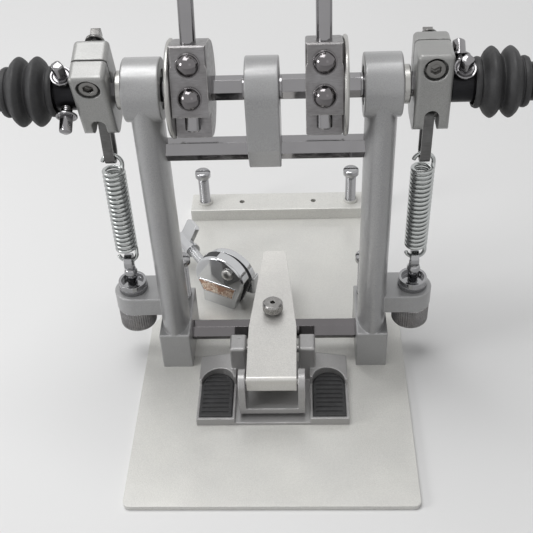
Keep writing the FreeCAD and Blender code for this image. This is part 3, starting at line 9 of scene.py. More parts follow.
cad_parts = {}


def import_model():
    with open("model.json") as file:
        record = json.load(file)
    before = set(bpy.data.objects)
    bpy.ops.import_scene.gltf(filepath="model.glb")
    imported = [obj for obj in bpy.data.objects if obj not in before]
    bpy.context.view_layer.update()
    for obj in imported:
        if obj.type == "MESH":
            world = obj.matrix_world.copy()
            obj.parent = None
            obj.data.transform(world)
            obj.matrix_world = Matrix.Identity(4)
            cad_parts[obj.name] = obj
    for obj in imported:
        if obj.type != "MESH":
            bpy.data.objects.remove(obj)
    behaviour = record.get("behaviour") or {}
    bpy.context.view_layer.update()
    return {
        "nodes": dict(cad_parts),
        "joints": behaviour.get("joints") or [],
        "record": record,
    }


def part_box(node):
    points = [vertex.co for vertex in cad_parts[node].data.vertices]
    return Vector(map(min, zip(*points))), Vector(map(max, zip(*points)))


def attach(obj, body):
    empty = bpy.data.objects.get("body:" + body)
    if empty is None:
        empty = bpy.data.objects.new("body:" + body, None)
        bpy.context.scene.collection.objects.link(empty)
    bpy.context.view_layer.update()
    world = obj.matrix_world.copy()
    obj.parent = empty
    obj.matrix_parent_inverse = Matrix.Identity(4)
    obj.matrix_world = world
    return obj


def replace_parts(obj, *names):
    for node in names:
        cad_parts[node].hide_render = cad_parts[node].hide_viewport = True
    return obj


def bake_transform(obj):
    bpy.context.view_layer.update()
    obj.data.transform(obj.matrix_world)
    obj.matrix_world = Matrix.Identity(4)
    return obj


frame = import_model()
NODES = frame["nodes"]
JOINTS = {joint["name"]: joint for joint in frame["joints"]}
SIDES = {"left": -1, "right": 1}

# Camera of the photograph
CAMERA_PLACE = (0.021069, -0.409670, 0.424618)
CAMERA_RIGHT = (0.998949, 0.024585, -0.038696)
CAMERA_UP = (0.013316, 0.652084, 0.758030)
CAMERA_BACK = (0.043869, -0.757748, 0.651071)
CAMERA_NEAR = 0.002
IMAGE_WIDTH = 533
FOCAL_PIXELS = 900
SENSOR = 36

# Springs
SPRING_WIRE = 0.0023
SPRING_RADIUS = 0.0055
SPRING_TURNS = 19
SPRING_SPAN = 0.0636
EYE_DROP = 0.0062
SPRING_RISE = 0.0036
SPRING_LEAD = math.radians(30)
HOOK_START = math.radians(195)
SPRING_STEPS_PER_TURN = 28
SPRING_HOOK_STEPS = 20
SPRING_SIDES = 14

# Boots, with the radius at each share of their length
BOOT_SHARES = (0.0, 0.05, 0.10, 0.14, 0.22, 0.32, 0.41, 0.50)
BOOT_RADII = (0.0124, 0.0130, 0.0129, 0.0125, 0.0160, 0.0180, 0.0166, 0.0138)
BOOT_WALL = 0.0011
BOOT_SIDES = 72
BOOT_STEPS = 9

# Steps of a rounded edge, and falloff, ratio and octaves of a ripple
EDGE_STEPS = 8
RIPPLE = (1.0, 2.0, 4)

# Felt heads
HEAD_THICKNESS = 0.040
HEAD_EDGE = 0.0062
HEAD_SIDES = 96
HEAD_RINGS = 12
HEAD_FACE_RINGS = 14
FELT_RIPPLE = 0.00035
FELT_RIPPLE_SCALE = 90

# Pads
PAD_RIBS = 9
PAD_WIDTH = 0.020
PAD_BORDER = 0.0016
PAD_GROOVE = 0.0011
PAD_SLOPE = 2
PAD_EDGE = 0.0007
PAD_ROWS = 160
PAD_COLUMNS = 40

# Spurs
SPUR_RADIUS = 0.004
SPUR_TIP = 0.006
SPUR_HEAD_HEIGHT = 0.0046
SPUR_HEAD_RADIUS = 0.0058
SPUR_HEAD_ROUND = 0.0016
SPUR_SLOT_WIDTH = 0.0016
SPUR_SLOT_DEPTH = 0.0018
SPUR_PITCH = 0.0020
SPUR_THREAD_DEPTH = 0.00095
THREAD_FLANK = 1.25
THREAD_SIDES = 28
THREAD_STEPS = 10
OVERRUN = 0.002

# Key bolts of the joints' collars, by (radius or half width, height) pairs,
# and by their angles in degrees, up from the front
BOLT_RADIUS = 0.0029
BOLT_STANDOFF = 0.0036
BOLT_PITCH = 0.0010
BOLT_ANGLES = {"left": (62, -34), "right": (58, 142)}
BOLT_OUT = 0.0133
BOLT_ROOT = 0.0060
BOLT_FLANGE = ((0.0029, 0), (0.0053, 0), (0.0057, 0.0004), (0.0057, 0.0012), (0.0054, 0.0015))
BOLT_CUP = ((0.0047, 0.0014), (0.0040, 0.0008))
BOLT_HEAD = ((0.0029, 0.0008), (0.0029, 0.0090), (0.0026, 0.0097), (0.0021, 0.0100))
BOLT_HEAD_POWER = 3.6
BOLT_HEAD_TURN = math.radians(40)
BOLT_SIDES = 40
BOLT_CREASE = math.radians(32)

# Thread ridges of the key bolts and of the clip's screw
RIDGE_RADIUS = 0.0003
RIDGE_SINK = 0.00012
RIDGE_STEPS = 24
RIDGE_SIDES = 6
CLIP_THREAD_RADIUS = 0.0029
CLIP_THREAD = (0.008, 0.0268)

# Knurls; the crest is the steps of a tooth that stand out
KNURL_DEPTH = 0.0003
KNURL_TEETH = 48
KNURL_STEPS = 4
KNURL_CREST = (1, 2)
CUP_NUT_RADIUS = 0.0085
CUP_KNURL = (0.0552, 0.0582)
KNOB_RADIUS = 0.011
KNOB_KNURL = (0.0285, 0.0414)
JACK_RADIUS = 0.006
JACK_KNURL = (0.0380, 0.0424)

# Clip's window plate
CLIP_CORNER = (-0.0502, 0.0474, 0.003)
CLIP_TURN = math.radians(-27.1)
WINDOW_LOW_X = (0.0016, 0.0240)
WINDOW_HIGH_X = (-0.0017, 0.0266)
WINDOW_Z = (0.0100, 0.0190)
WINDOW_PROUD = 0.0006
WINDOW_SEAT = 0.00005
WINDOW_STEPS = 30
WINDOW_ROUGHNESS = 0.0003
WINDOW_GRAIN = 700
LIP_RADIUS = 0.0007
LIP_SIDES = 10

# Clip's rivet cap
RIVET_PLACE = (0.0218, -0.0012, 0.0310)
RIVET_RADII = (0.0041, 0.0041, 0.0037, 0.0028, 0.0016, 0.0004)
RIVET_HEIGHTS = (-0.0010, 0.0001, 0.0007, 0.0012, 0.0015, 0.0016)
RIVET_SIDES = 32

# Clip's rubber insert
CLIP_ARC = ((-0.0041, 0.0192), (0.015, 0.041), (0.033, 0.026))
INSERT_X = (0.0035, 0.0125)
INSERT_Y = (0.0026, 0.0076)
INSERT_PROUD = 0.0002
INSERT_DEPTH = 0.0006
INSERT_STEPS = 16

# Eyebolts' shoulders
SHOULDER_RADII = (0.0031, 0.0036, 0.0040, 0.0040, 0.0036, 0.0031)
SHOULDER_HEIGHTS = (0.0655, 0.0664, 0.0676, 0.0688, 0.0700, 0.0713)
SHOULDER_SIDES = 40

# Floor and world
WHITE = (1, 1, 1)
FLOOR_HALF = 4.0
FLOOR_DROP = 0.0002
FLOOR_ROUGHNESS = 0.9
FADE_START = 0.4
FADE_END = 2.4
WORLD_LIGHT = 0.37

# Lamps, by place, size and power
LAMP_AIM = (0, 0, 0.1)
LAMPS = {
    "overhead": ((-0.30, 0.15, 1.5), 0.9, 14.5),
    "front": ((0.7, -1.2, 1.0), 0.6, 0.4),
    "left_strip": ((-1.2, -0.4, 0.6), 0.4, 5.5),
}

# Edges and bumps of the looks; a bump has a strength and a height
BEVEL_SAMPLES = 4
EDGE_RADIUS = 0.0005
SOFT_EDGE = 0.0011
FINE_BUMP = 0.00004
GRAIN_BUMP = 0.0002
BUMPS = {
    "paint": (0.10, FINE_BUMP),
    "plating": (0.04, FINE_BUMP),
    "steel": (0.10, FINE_BUMP),
    "torn": (0.6, GRAIN_BUMP),
    "rubber": (0.2, GRAIN_BUMP),
    "felt": (0.6, GRAIN_BUMP),
}
PAINT_EDGE_SHARES = (0.04, 0.25)
STEEL_EDGE_SHARES = (0.03, 0.2)
# Lighter edge colour of satin paint: partly wear, partly a painted highlight along the edges
EDGE_WEAR_AND_HIGHLIGHT_GAIN = 2.0
EDGE_WEAR_AND_HIGHLIGHT_WHITE = 0.84

# Tints and sheens of the looks
COAT = 0.35
COAT_ROUGHNESS = 0.14
CLOUD_TINTS = ((0.96, 0.96, 0.96), (1.03, 1.03, 1.02))
BLOTCH_TINTS = ((0.80, 0.79, 0.78), (1.05, 1.05, 1.05))
SOIL_TINTS = (WHITE, (0.88, 0.86, 0.82))
WORN_STEEL = (0.85, 0.84, 0.80)
TORN_METAL = 0.8
DUST_GAIN = 2.2
FIBRE_SHARE = 0.5
WEAVE_SPAN = (0.35, 0.65)
WEAVE_SHARES = (0.82, 1.05)
FELT_ROUGHNESS = 0.95
SHEEN = 0.35
SHEEN_ROUGHNESS = 0.6

# Grains of the looks: a noise's scale per metre and its detail, the span of the noise that is
# used, and what this span becomes: shares of a colour, plain shares, or changes of a roughness
Grain = namedtuple("Grain", "scale detail low high first last stretch turn",
                   defaults=(0, 1, 0, 1, None, (0, 0, 0)))
TORN_NOISE = (1100, 6)
GRAINS = {
    "flake": Grain(2600, 2, 0.35, 0.68, 0.86, 1.10),
    "cloud": Grain(38, 5, 0.3, 0.7),
    # Patchiness of the lighter paint edges, which are partly wear and partly a painted highlight
    "paint_edge_wear_and_highlight": Grain(160, 5, 0.42, 0.62, 0.3, 1),
    "scratches": Grain(60, 8, 0.3, 0.7, -0.07, 0.06, (1, 14, 3), (0, 0, 0.5)),
    "scuffs": Grain(22, 6, 0.45, 0.7, 0, 0.12),
    "paint_skin": Grain(1500, 3),
    "smudges": Grain(70, 5, 0.3, 0.75, 0.90, 1),
    "smears": Grain(140, 6, 0.4, 0.75, 0, 0.12),
    "plating_skin": Grain(260, 3),
    "brush_lines": Grain(300, 6, 0.3, 0.7, 0.82, 1.12, (1, 1, 12)),
    "blotches": Grain(90, 6, 0.35, 0.7),
    "steel_rubbing": Grain(240, 4, 0.35, 0.6, 0.2, 1),
    "handling": Grain(420, 5, 0.3, 0.7, -0.08, 0.10),
    "painted_glint_patches": Grain(130, 3, 0.42, 0.6, 0, 1),
    "painted_glint_spots": Grain(*TORN_NOISE, 0.42, 0.55, 0, 1),
    "torn_tint": Grain(*TORN_NOISE, 0.35, 0.7, 0.75, 1.15),
    "torn_gloss": Grain(*TORN_NOISE, 0.3, 0.7, -0.1, 0.15),
    "torn_skin": Grain(*TORN_NOISE),
    "dust": Grain(120, 6, 0.5, 0.8, 0, 0.35),
    "rubber_tint": Grain(900, 3, 0.3, 0.7, 0.8, 1.2),
    "rubber_gloss": Grain(300, 4, 0.3, 0.7, -0.08, 0.08),
    "rubber_skin": Grain(2200, 3),
    "fibres": Grain(700, 9, stretch=(1, 1, 4)),
    "matting": Grain(1500, 6, stretch=(4, 1, 1)),
    "soil": Grain(60, 5, 0.4, 0.75),
    "floor": Grain(3, 2, 0.3, 0.7, 0.72, 0.74),
}

# Sockets of the colour mixing node
MIX_FACTOR = 0
MIX_FIRST = 6
MIX_SECOND = 7
MIX_RESULT = 2


def joint_place(name):
    """Place of a joint at rest."""
    return Vector(JOINTS[name]["pos_m"])


def along(pair, share):
    """Number at a share of the way between two."""
    return pair[0] + (pair[1] - pair[0]) * share


def shade(colour, share):
    """A colour made darker or lighter."""
    return tuple(channel * share for channel in colour)


def new_object(name, data):
    """New object in the scene."""
    obj = bpy.data.objects.new(name, data)
    bpy.context.scene.collection.objects.link(obj)
    return obj


# Node helpers for materials

class Look:
    """A material with short calls for its nodes."""

    def __init__(self, name, rough, metal=0.0):
        self.material = bpy.data.materials.new(name)
        self.material.use_nodes = True
        self.tree = self.material.node_tree
        self.shader = self.tree.nodes["Principled BSDF"]
        self.shader.inputs["Roughness"].default_value = rough
        self.shader.inputs["Metallic"].default_value = metal
        self.place = self.tree.nodes.new("ShaderNodeTexCoord").outputs["Object"]

    def join(self, source, target):
        """Links an output to an input."""
        self.tree.links.new(source, target)

    def set(self, socket, value):
        """Gives an input a plain colour, a plain number or another node's output."""
        if isinstance(value, tuple):
            socket.default_value = (*value, 1)
        elif isinstance(value, (int, float)):
            socket.default_value = value
        else:
            self.join(value, socket)

    def noise(self, kind):
        """Noise by place, stretched along an axis where its grain says so."""
        grain = GRAINS[kind]
        node = self.tree.nodes.new("ShaderNodeTexNoise")
        node.inputs["Scale"].default_value = grain.scale
        node.inputs["Detail"].default_value = grain.detail
        vector = self.place
        if grain.stretch:
            mapping = self.tree.nodes.new("ShaderNodeMapping")
            mapping.inputs["Scale"].default_value = grain.stretch
            mapping.inputs["Rotation"].default_value = grain.turn
            self.join(vector, mapping.inputs["Vector"])
            vector = mapping.outputs["Vector"]
        self.join(vector, node.inputs["Vector"])
        return node.outputs["Fac"]

    def ramp(self, value, low, high, first, last):
        """Colours between two values of a factor."""
        node = self.tree.nodes.new("ShaderNodeValToRGB")
        node.color_ramp.elements[0].position = low
        node.color_ramp.elements[1].position = high
        node.color_ramp.elements[0].color = (*first, 1)
        node.color_ramp.elements[1].color = (*last, 1)
        self.join(value, node.inputs["Fac"])
        return node.outputs["Color"]

    def span(self, value, low, high, first, last):
        """Numbers between two values of a factor, clamped."""
        node = self.tree.nodes.new("ShaderNodeMapRange")
        node.inputs["From Min"].default_value = low
        node.inputs["From Max"].default_value = high
        node.inputs["To Min"].default_value = first
        node.inputs["To Max"].default_value = last
        self.join(value, node.inputs["Value"])
        return node.outputs["Result"]

    def between(self, kind, first, last):
        """Colours from one to another, by a grain."""
        grain = GRAINS[kind]
        return self.ramp(self.noise(kind), grain.low, grain.high, first, last)

    def tint(self, kind, colour):
        """Darker and lighter shades of a colour, by a grain."""
        grain = GRAINS[kind]
        return self.between(kind, shade(colour, grain.first), shade(colour, grain.last))

    def level(self, kind, base=0):
        """Numbers above and below a base, by a grain."""
        grain = GRAINS[kind]
        return self.span(self.noise(kind), grain.low, grain.high, base + grain.first, base + grain.last)

    def maths(self, operation, first, second):
        """Sum or product of two numbers."""
        node = self.tree.nodes.new("ShaderNodeMath")
        node.operation = operation
        for socket, value in zip(node.inputs, (first, second)):
            self.set(socket, value)
        return node.outputs["Value"]

    def mix(self, factor, first, second, blend="MIX"):
        """Mix of two colours; a tuple stands for a plain colour."""
        node = self.tree.nodes.new("ShaderNodeMix")
        node.data_type = "RGBA"
        node.blend_type = blend
        self.set(node.inputs[MIX_FACTOR], factor)
        self.set(node.inputs[MIX_FIRST], first)
        self.set(node.inputs[MIX_SECOND], second)
        return node.outputs[MIX_RESULT]

    def soft_normal(self, radius):
        """Direction of the surface, rounded at sharp edges."""
        bevel = self.tree.nodes.new("ShaderNodeBevel")
        bevel.samples = BEVEL_SAMPLES
        bevel.inputs["Radius"].default_value = radius
        return bevel.outputs["Normal"]

    def edges(self, radius, low, high):
        """1 near sharp edges, 0 elsewhere."""
        plain = self.tree.nodes.new("ShaderNodeNewGeometry")
        dot = self.tree.nodes.new("ShaderNodeVectorMath")
        dot.operation = "DOT_PRODUCT"
        self.join(self.soft_normal(radius), dot.inputs[0])
        self.join(plain.outputs["Normal"], dot.inputs[1])
        return self.span(dot.outputs["Value"], 1 - low, 1 - high, 0, 1)

    def bump(self, height, strength, distance, radius=0):
        """Bump, on rounded edges where a radius is given."""
        node = self.tree.nodes.new("ShaderNodeBump")
        node.inputs["Strength"].default_value = strength
        node.inputs["Distance"].default_value = distance
        self.join(height, node.inputs["Height"])
        if radius:
            self.join(self.soft_normal(radius), node.inputs["Normal"])
        self.join(node.outputs["Normal"], self.shader.inputs["Normal"])

    def colour(self, value):
        """Sets the base colour."""
        self.set(self.shader.inputs["Base Color"], value)

    def roughness(self, value):
        """Sets the roughness."""
        self.set(self.shader.inputs["Roughness"], value)


# Materials

def satin_paint(name, colour, metal, rough, wear, edge_radius=EDGE_RADIUS):
    """Metallic satin paint: fine flake, cloudy sheen, scratches, and edges lightened partly as wear and
    partly as a painted highlight.
    """
    look = Look(name, rough, metal)
    base = look.mix(1, look.tint("flake", colour), look.between("cloud", *CLOUD_TINTS), "MULTIPLY")
    # Edges mix towards a lighter colour: partly rubbed wear, partly a painted highlight along the edges
    edge = look.maths("MULTIPLY", look.edges(edge_radius, *PAINT_EDGE_SHARES), look.level("paint_edge_wear_and_highlight"))
    bright = tuple(min(channel * EDGE_WEAR_AND_HIGHLIGHT_GAIN, EDGE_WEAR_AND_HIGHLIGHT_WHITE) for channel in colour)
    look.colour(look.mix(look.maths("MULTIPLY", edge, wear), base, bright))
    look.roughness(look.maths("ADD", look.level("scratches", rough), look.level("scuffs")))
    look.bump(look.noise("paint_skin"), *BUMPS["paint"], edge_radius)
    look.shader.inputs["Coat Weight"].default_value = COAT
    look.shader.inputs["Coat Roughness"].default_value = COAT_ROUGHNESS
    return look.material


def polished(name, colour, rough, edge_radius=EDGE_RADIUS):
    """Plated metal: near mirror, with faint smudges and a soft edge."""
    look = Look(name, rough, 1)
    look.colour(look.tint("smudges", colour))
    look.roughness(look.level("smears", rough))
    look.bump(look.noise("plating_skin"), *BUMPS["plating"], edge_radius)
    return look.material


def brushed(name, colour, rough, wear):
    """Machined steel: fine lines, blotches and bright worn edges."""
    look = Look(name, rough, 1)
    lines = look.tint("brush_lines", colour)
    base = look.mix(1, lines, look.between("blotches", *BLOTCH_TINTS), "MULTIPLY")
    edge = look.maths("MULTIPLY", look.edges(EDGE_RADIUS, *STEEL_EDGE_SHARES), look.level("steel_rubbing"))
    look.colour(look.mix(look.maths("MULTIPLY", edge, wear), base, WORN_STEEL))
    look.roughness(look.level("handling", rough))
    look.bump(look.noise("brush_lines"), *BUMPS["steel"], EDGE_RADIUS)
    return look.material


def torn(name, colour, bright, rough):
    """Torn metal face: coarse glittering grain; its brighter patches are painted glints."""
    look = Look(name, rough, TORN_METAL)
    # Bright flecks in patches: painted glints of the rough metal
    spots = look.maths("MULTIPLY", look.level("painted_glint_patches"), look.level("painted_glint_spots"))
    look.colour(look.mix(spots, look.tint("torn_tint", colour), bright))
    look.roughness(look.level("torn_gloss", rough))
    look.bump(look.noise("torn_skin"), *BUMPS["torn"])
    return look.material


def rubber(name, colour, rough):
    """Moulded rubber: fine grain and dusty high spots."""
    look = Look(name, rough)
    look.colour(look.mix(look.level("dust"), look.tint("rubber_tint", colour), shade(colour, DUST_GAIN)))
    look.roughness(look.level("rubber_gloss", rough))
    look.bump(look.noise("rubber_skin"), *BUMPS["rubber"])
    return look.material


def felt(name, colour):
    """Pressed wool: matted fibres, soft sheen and slight soiling."""
    look = Look(name, FELT_ROUGHNESS)
    fibres = look.maths("MULTIPLY", look.noise("fibres"), FIBRE_SHARE)
    matting = look.maths("MULTIPLY", look.noise("matting"), 1 - FIBRE_SHARE)
    weave = look.maths("ADD", fibres, matting)
    dark, light = [shade(colour, share) for share in WEAVE_SHARES]
    base = look.ramp(weave, *WEAVE_SPAN, dark, light)
    look.colour(look.mix(1, base, look.between("soil", *SOIL_TINTS), "MULTIPLY"))
    look.shader.inputs["Sheen Weight"].default_value = SHEEN
    look.shader.inputs["Sheen Roughness"].default_value = SHEEN_ROUGHNESS
    look.bump(weave, *BUMPS["felt"])
    return look.material


# Looks by name: colour, then metal for paint, roughness, and wear or edge where they have one; the wear of
# paint is partly a painted edge highlight
MATERIALS = {
    "plate": satin_paint("plate_silver", (0.63, 0.625, 0.60), 0.20, 0.36, 0.5),
    "lever": satin_paint("lever_silver", (0.61, 0.60, 0.58), 0.60, 0.36, 0.5),
    "post": satin_paint("post_grey", (0.34, 0.34, 0.345), 0.35, 0.36, 0.7, SOFT_EDGE),
    "cast": satin_paint("cast_silver", (0.28, 0.28, 0.275), 0.50, 0.36, 1.0, SOFT_EDGE),
    "clamp": satin_paint("clamp_silver", (0.36, 0.355, 0.355), 0.45, 0.34, 0.9, SOFT_EDGE),
    "chrome": polished("chrome_plate", (0.55, 0.555, 0.565), 0.06),
    # The darker chrome looks below are one chrome plating in painted shade, standing in for dark
    # surroundings mirrored in it
    "mirror": polished("chrome_painted_shade_mid", (0.34, 0.34, 0.348), 0.05),
    "bar": polished("chrome_painted_shade_deep", (0.26, 0.255, 0.262), 0.05),
    "key": polished("chrome_painted_shade_deeper", (0.20, 0.196, 0.19), 0.07, SOFT_EDGE),
    "dome": polished("chrome_painted_shade_deepest", (0.16, 0.152, 0.156), 0.04),
    "nickel": polished("satin_nickel", (0.42, 0.415, 0.40), 0.28),
    "hub": brushed("hub_steel", (0.22, 0.215, 0.22), 0.36, 0.8),
    "zinc": polished("zinc_wire", (0.45, 0.465, 0.46), 0.18),
    "dark_metal": brushed("dark_steel", (0.15, 0.15, 0.15), 0.40, 0.4),
    "grey_metal": brushed("nickel_steel", (0.30, 0.295, 0.29), 0.24, 0.6),
    "black_metal": brushed("black_oxide", (0.022, 0.022, 0.024), 0.40, 0.25),
    "copper": torn("copper_painted_glints", (0.50, 0.30, 0.21), (0.95, 0.89, 0.78), 0.34),
    "rubber": rubber("black_rubber", (0.018, 0.018, 0.019), 0.62),
    "felt": felt("pressed_felt", (0.72, 0.69, 0.62)),
}

# Nodes that differ from their slot's common look; the darker chrome looks here are painted shade
NODE_LOOKS = {
    "lower_crossbar": "dome",
    "upper_crossbar": "bar",
    "clamp_screw": "grey_metal",
    "clamp_lever": "lever",
}
# The darker chrome looks on both sides are painted shade
SIDE_LOOKS = {
    "_shaft": "bar",
    "_beater_rod": "bar",
    "_eyebolt": "mirror",
    "_spring_nuts": "mirror",
    "_collar_bolts": "key",
    "_lever_fasteners": "key",
    "_rod_screws": "dome",
    "_hub_disc": "nickel",
    "_shaft_collar": "nickel",
    "_spring_lever": "cast",
}


def node_looks():
    """Looks of the nodes that differ, on both sides."""
    looks = dict(NODE_LOOKS)
    for side in SIDES:
        for piece, look in SIDE_LOOKS.items():
            looks[side + piece] = look
    return looks


def dress_nodes():
    """Every node gets its own look, or its slot's."""
    looks = node_looks()
    for subpart in frame["record"]["subparts"]:
        obj = NODES[subpart["node"]]
        obj.data.materials.clear()
        obj.data.materials.append(MATERIALS[looks.get(subpart["node"], subpart["material_slot"])])


# Mesh helpers

def add_mesh(name, verts, faces, slot, look=None):
    """New smooth mesh of a slot, with another look where one is given."""
    mesh = bpy.data.meshes.new(name)
    mesh.from_pydata(verts, [], faces)
    mesh.update()
    mesh.materials.append(MATERIALS[look or slot])
    mesh.shade_smooth()
    obj = new_object(name, mesh)
    return obj


def grid_faces(rows, columns, wrap):
    """Faces of a grid of points, closed round its columns where asked."""
    faces = []
    for row in range(rows - 1):
        for column in range(columns if wrap else columns - 1):
            after = (column + 1) % columns
            first = row * columns
            faces.append((first + column, first + after, first + columns + after, first + columns + column))
    return faces


def slab_faces(rows, columns):
    """Faces of two grids of points, one behind the other, joined round their rims."""
    faces = grid_faces(rows, columns, False)
    shift = rows * columns
    faces += [tuple(shift + corner for corner in reversed(face)) for face in list(faces)]
    rim = list(range(columns)) + [row * columns + columns - 1 for row in range(1, rows)]
    rim += [shift - 1 - column for column in range(1, columns)]
    rim += [row * columns for row in range(rows - 2, 0, -1)]
    for here, after in zip(rim, rim[1:] + rim[:1]):
        faces.append((after, here, shift + here, shift + after))
    return faces


def circle_rings(profile, sides):
    """Points of a solid turned about Z from (radius, height) pairs."""
    verts = []
    for radius, height in profile:
        for side in range(sides):
            angle = 2 * math.pi * side / sides
            verts.append(Vector((radius * math.cos(angle), radius * math.sin(angle), height)))
    return verts


def capped_faces(rows, columns):
    """Faces of a stack of rings, with its first and last ring closed."""
    first = tuple(reversed(range(columns)))
    last = tuple((rows - 1) * columns + column for column in range(columns))
    return grid_faces(rows, columns, True) + [first, last]


def looped_faces(rows, columns):
    """Faces of a stack of rings whose last ring meets the first."""
    faces = grid_faces(rows, columns, True)
    last = (rows - 1) * columns
    for column in range(columns):
        after = (column + 1) % columns
        faces.append((last + column, last + after, after, column))
    return faces


def tube(points, radius, sides):
    """Points and faces of a round wire along a line of points."""
    verts = []
    across = (points[1] - points[0]).normalized().orthogonal().normalized()
    for index, point in enumerate(points):
        before = points[max(index - 1, 0)]
        after = points[min(index + 1, len(points) - 1)]
        heading = (after - before).normalized()
        across = (across - heading * across.dot(heading)).normalized()
        other = heading.cross(across)
        for side in range(sides):
            angle = 2 * math.pi * side / sides
            verts.append(point + (across * math.cos(angle) + other * math.sin(angle)) * radius)
    return verts, capped_faces(len(points), sides)


def hermite(start, leave, end, arrive, share):
    """Value at a share of a smooth run between two values, with a given slope at each."""
    square = share ** 2
    cube = share ** 3
    value = start * (2 * cube - 3 * square + 1) + leave * (cube - 2 * square + share)
    return value + end * (3 * square - 2 * cube) + arrive * (cube - square)


# Springs

def helix_point(angle, height):
    """Point of the coil at an angle and a height."""
    return Vector((SPRING_RADIUS * math.cos(angle), SPRING_RADIUS * math.sin(angle), height))


def spring_lower_half():
    """Hook ring, lead and half of the turns, from the lower end upward."""
    points = []
    for step in range(SPRING_HOOK_STEPS + 1):
        angle = HOOK_START + (2 * math.pi - HOOK_START) * step / SPRING_HOOK_STEPS
        points.append(Vector((SPRING_RADIUS * math.cos(angle), 0, SPRING_RADIUS * math.sin(angle))))
    turn = 2 * math.pi * SPRING_TURNS - 2 * SPRING_LEAD
    rise = SPRING_SPAN - 2 * SPRING_RISE
    start = helix_point(SPRING_LEAD, SPRING_RISE)
    climb = rise / turn / SPRING_RADIUS
    slope = Vector((-math.sin(SPRING_LEAD), math.cos(SPRING_LEAD), climb)).normalized()
    hook_end = points[-1]
    reach = (start - hook_end).length
    for step in range(1, SPRING_HOOK_STEPS):
        share = step / SPRING_HOOK_STEPS
        points.append(hermite(hook_end, Vector((0, 0, reach)), start, slope * reach, share))
    steps = SPRING_TURNS * SPRING_STEPS_PER_TURN
    for step in range(steps // 2 + 1):
        points.append(helix_point(SPRING_LEAD + turn * step / steps, SPRING_RISE + rise * step / steps))
    return points


def spring(side):
    """Wound spring laid between its two bodies."""
    lower = spring_lower_half()
    upper = [Vector((point.x, -point.y, SPRING_SPAN - point.z)) for point in reversed(lower)]
    foot = joint_place(side + "_spring_swing") + Vector((0, 0, EYE_DROP))
    axis = Vector(JOINTS[side + "_spring_pull"]["axis"])
    turn = Vector((0, 0, 1)).rotation_difference(axis)
    points = [foot + turn @ point for point in lower + upper[1:]]
    verts, faces = tube(points, SPRING_WIRE / 2, SPRING_SIDES)
    obj = add_mesh(side + "_coil_spring", verts, faces, "zinc")
    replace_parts(obj, side + "_spring")
    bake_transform(obj)


# Boots

def smooth_profile(shares, radii, steps):
    """Even line through (share, radius) pairs, smooth at each pair."""
    line = []
    last = len(shares) - 1
    for index in range(last):
        before = radii[max(index - 1, 0)]
        after = radii[min(index + 2, last)]
        leave = (radii[index + 1] - before) / 2
        arrive = (after - radii[index]) / 2
        if index == last - 1:
            arrive = 0
        for step in range(steps):
            share = step / steps
            radius = hermite(radii[index], leave, radii[index + 1], arrive, share)
            line.append((along(shares[index:index + 2], share), radius))
    line.append((shares[-1], radii[-1]))
    return line


def boot_half(side, part, centre, reach, half):
    """One half of a boot along X, from its end to the joint's centre."""
    outside = smooth_profile(BOOT_SHARES, BOOT_RADII, BOOT_STEPS)
    profile = [(radius, (2 * share - 1) * half) for share, radius in outside]
    profile += [(radius - BOOT_WALL, height) for radius, height in reversed(profile)]
    rings = circle_rings(profile, BOOT_SIDES)
    verts = [Vector((reach * point.z, point.x, point.y)) + centre for point in rings]
    faces = looped_faces(len(profile), BOOT_SIDES)
    if reach < 0:
        faces = [tuple(reversed(face)) for face in faces]
    return add_mesh(side + "_boot_" + part, verts, faces, "rubber")


def boot(side):
    """Folded boot in two halves that meet at the joint's centre."""
    centre = joint_place(side + "_joint_swing")
    low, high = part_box(side + "_boot")
    half = (high.x - low.x) / 2
    inner = boot_half(side, "inner", centre, SIDES[side], half)
    outer = boot_half(side, "outer", centre, -SIDES[side], half)
    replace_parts(inner, side + "_boot")
    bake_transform(inner)
    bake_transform(outer)


# Felt heads

def head_profile(radius):
    """Rounded disc from the middle of one face to the middle of the other."""
    half = HEAD_THICKNESS / 2
    flat = radius - HEAD_EDGE
    profile = [(flat * ring / HEAD_FACE_RINGS, -half) for ring in range(1, HEAD_FACE_RINGS)]
    for step in range(EDGE_STEPS + 1):
        angle = math.pi / 2 * step / EDGE_STEPS
        profile.append((flat + HEAD_EDGE * math.sin(angle), -half + HEAD_EDGE * (1 - math.cos(angle))))
    belt = HEAD_THICKNESS - 2 * HEAD_EDGE
    middle = [(radius, belt * (ring / HEAD_RINGS - 0.5)) for ring in range(1, HEAD_RINGS)]
    return profile + middle + [(ring_radius, -height) for ring_radius, height in reversed(profile)]


def beater_head(side):
    """Felt head with a rippled skin."""
    low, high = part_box(side + "_beater_head")
    centre = (low + high) / 2
    profile = head_profile((high.x - low.x) / 2)
    up = Vector(JOINTS[side + "_beater_height"]["axis"])
    across = Vector((1, 0, 0))
    stroke = up.cross(across)
    verts = []
    for point in circle_rings(profile, HEAD_SIDES):
        place = across * point.x + up * point.y + stroke * point.z
        ripple = smooth_noise.fractal(place * FELT_RIPPLE_SCALE, *RIPPLE)
        verts.append(centre + place - place.normalized() * FELT_RIPPLE * (1 + ripple))
    faces = capped_faces(len(profile), HEAD_SIDES)
    obj = add_mesh(side + "_felt_head", verts, faces, "felt")
    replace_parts(obj, side + "_beater_head")
    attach(obj, side + "_beater")


# Spurs

def threaded(radius, depth, pitch, bottom, top):
    """Ring points of a threaded shank, and how many rings it has."""
    rings = int((top - bottom) / pitch * THREAD_STEPS) + 1
    verts = []
    for ring in range(rings):
        height = along((bottom, top), ring / (rings - 1))
        for side in range(THREAD_SIDES):
            phase = (height / pitch - side / THREAD_SIDES) % 1
            dip = max(0, 1 - abs(2 * phase - 1) * THREAD_FLANK)
            angle = 2 * math.pi * side / THREAD_SIDES
            reach = radius - depth * dip
            verts.append(Vector((reach * math.cos(angle), reach * math.sin(angle), height)))
    return verts, rings


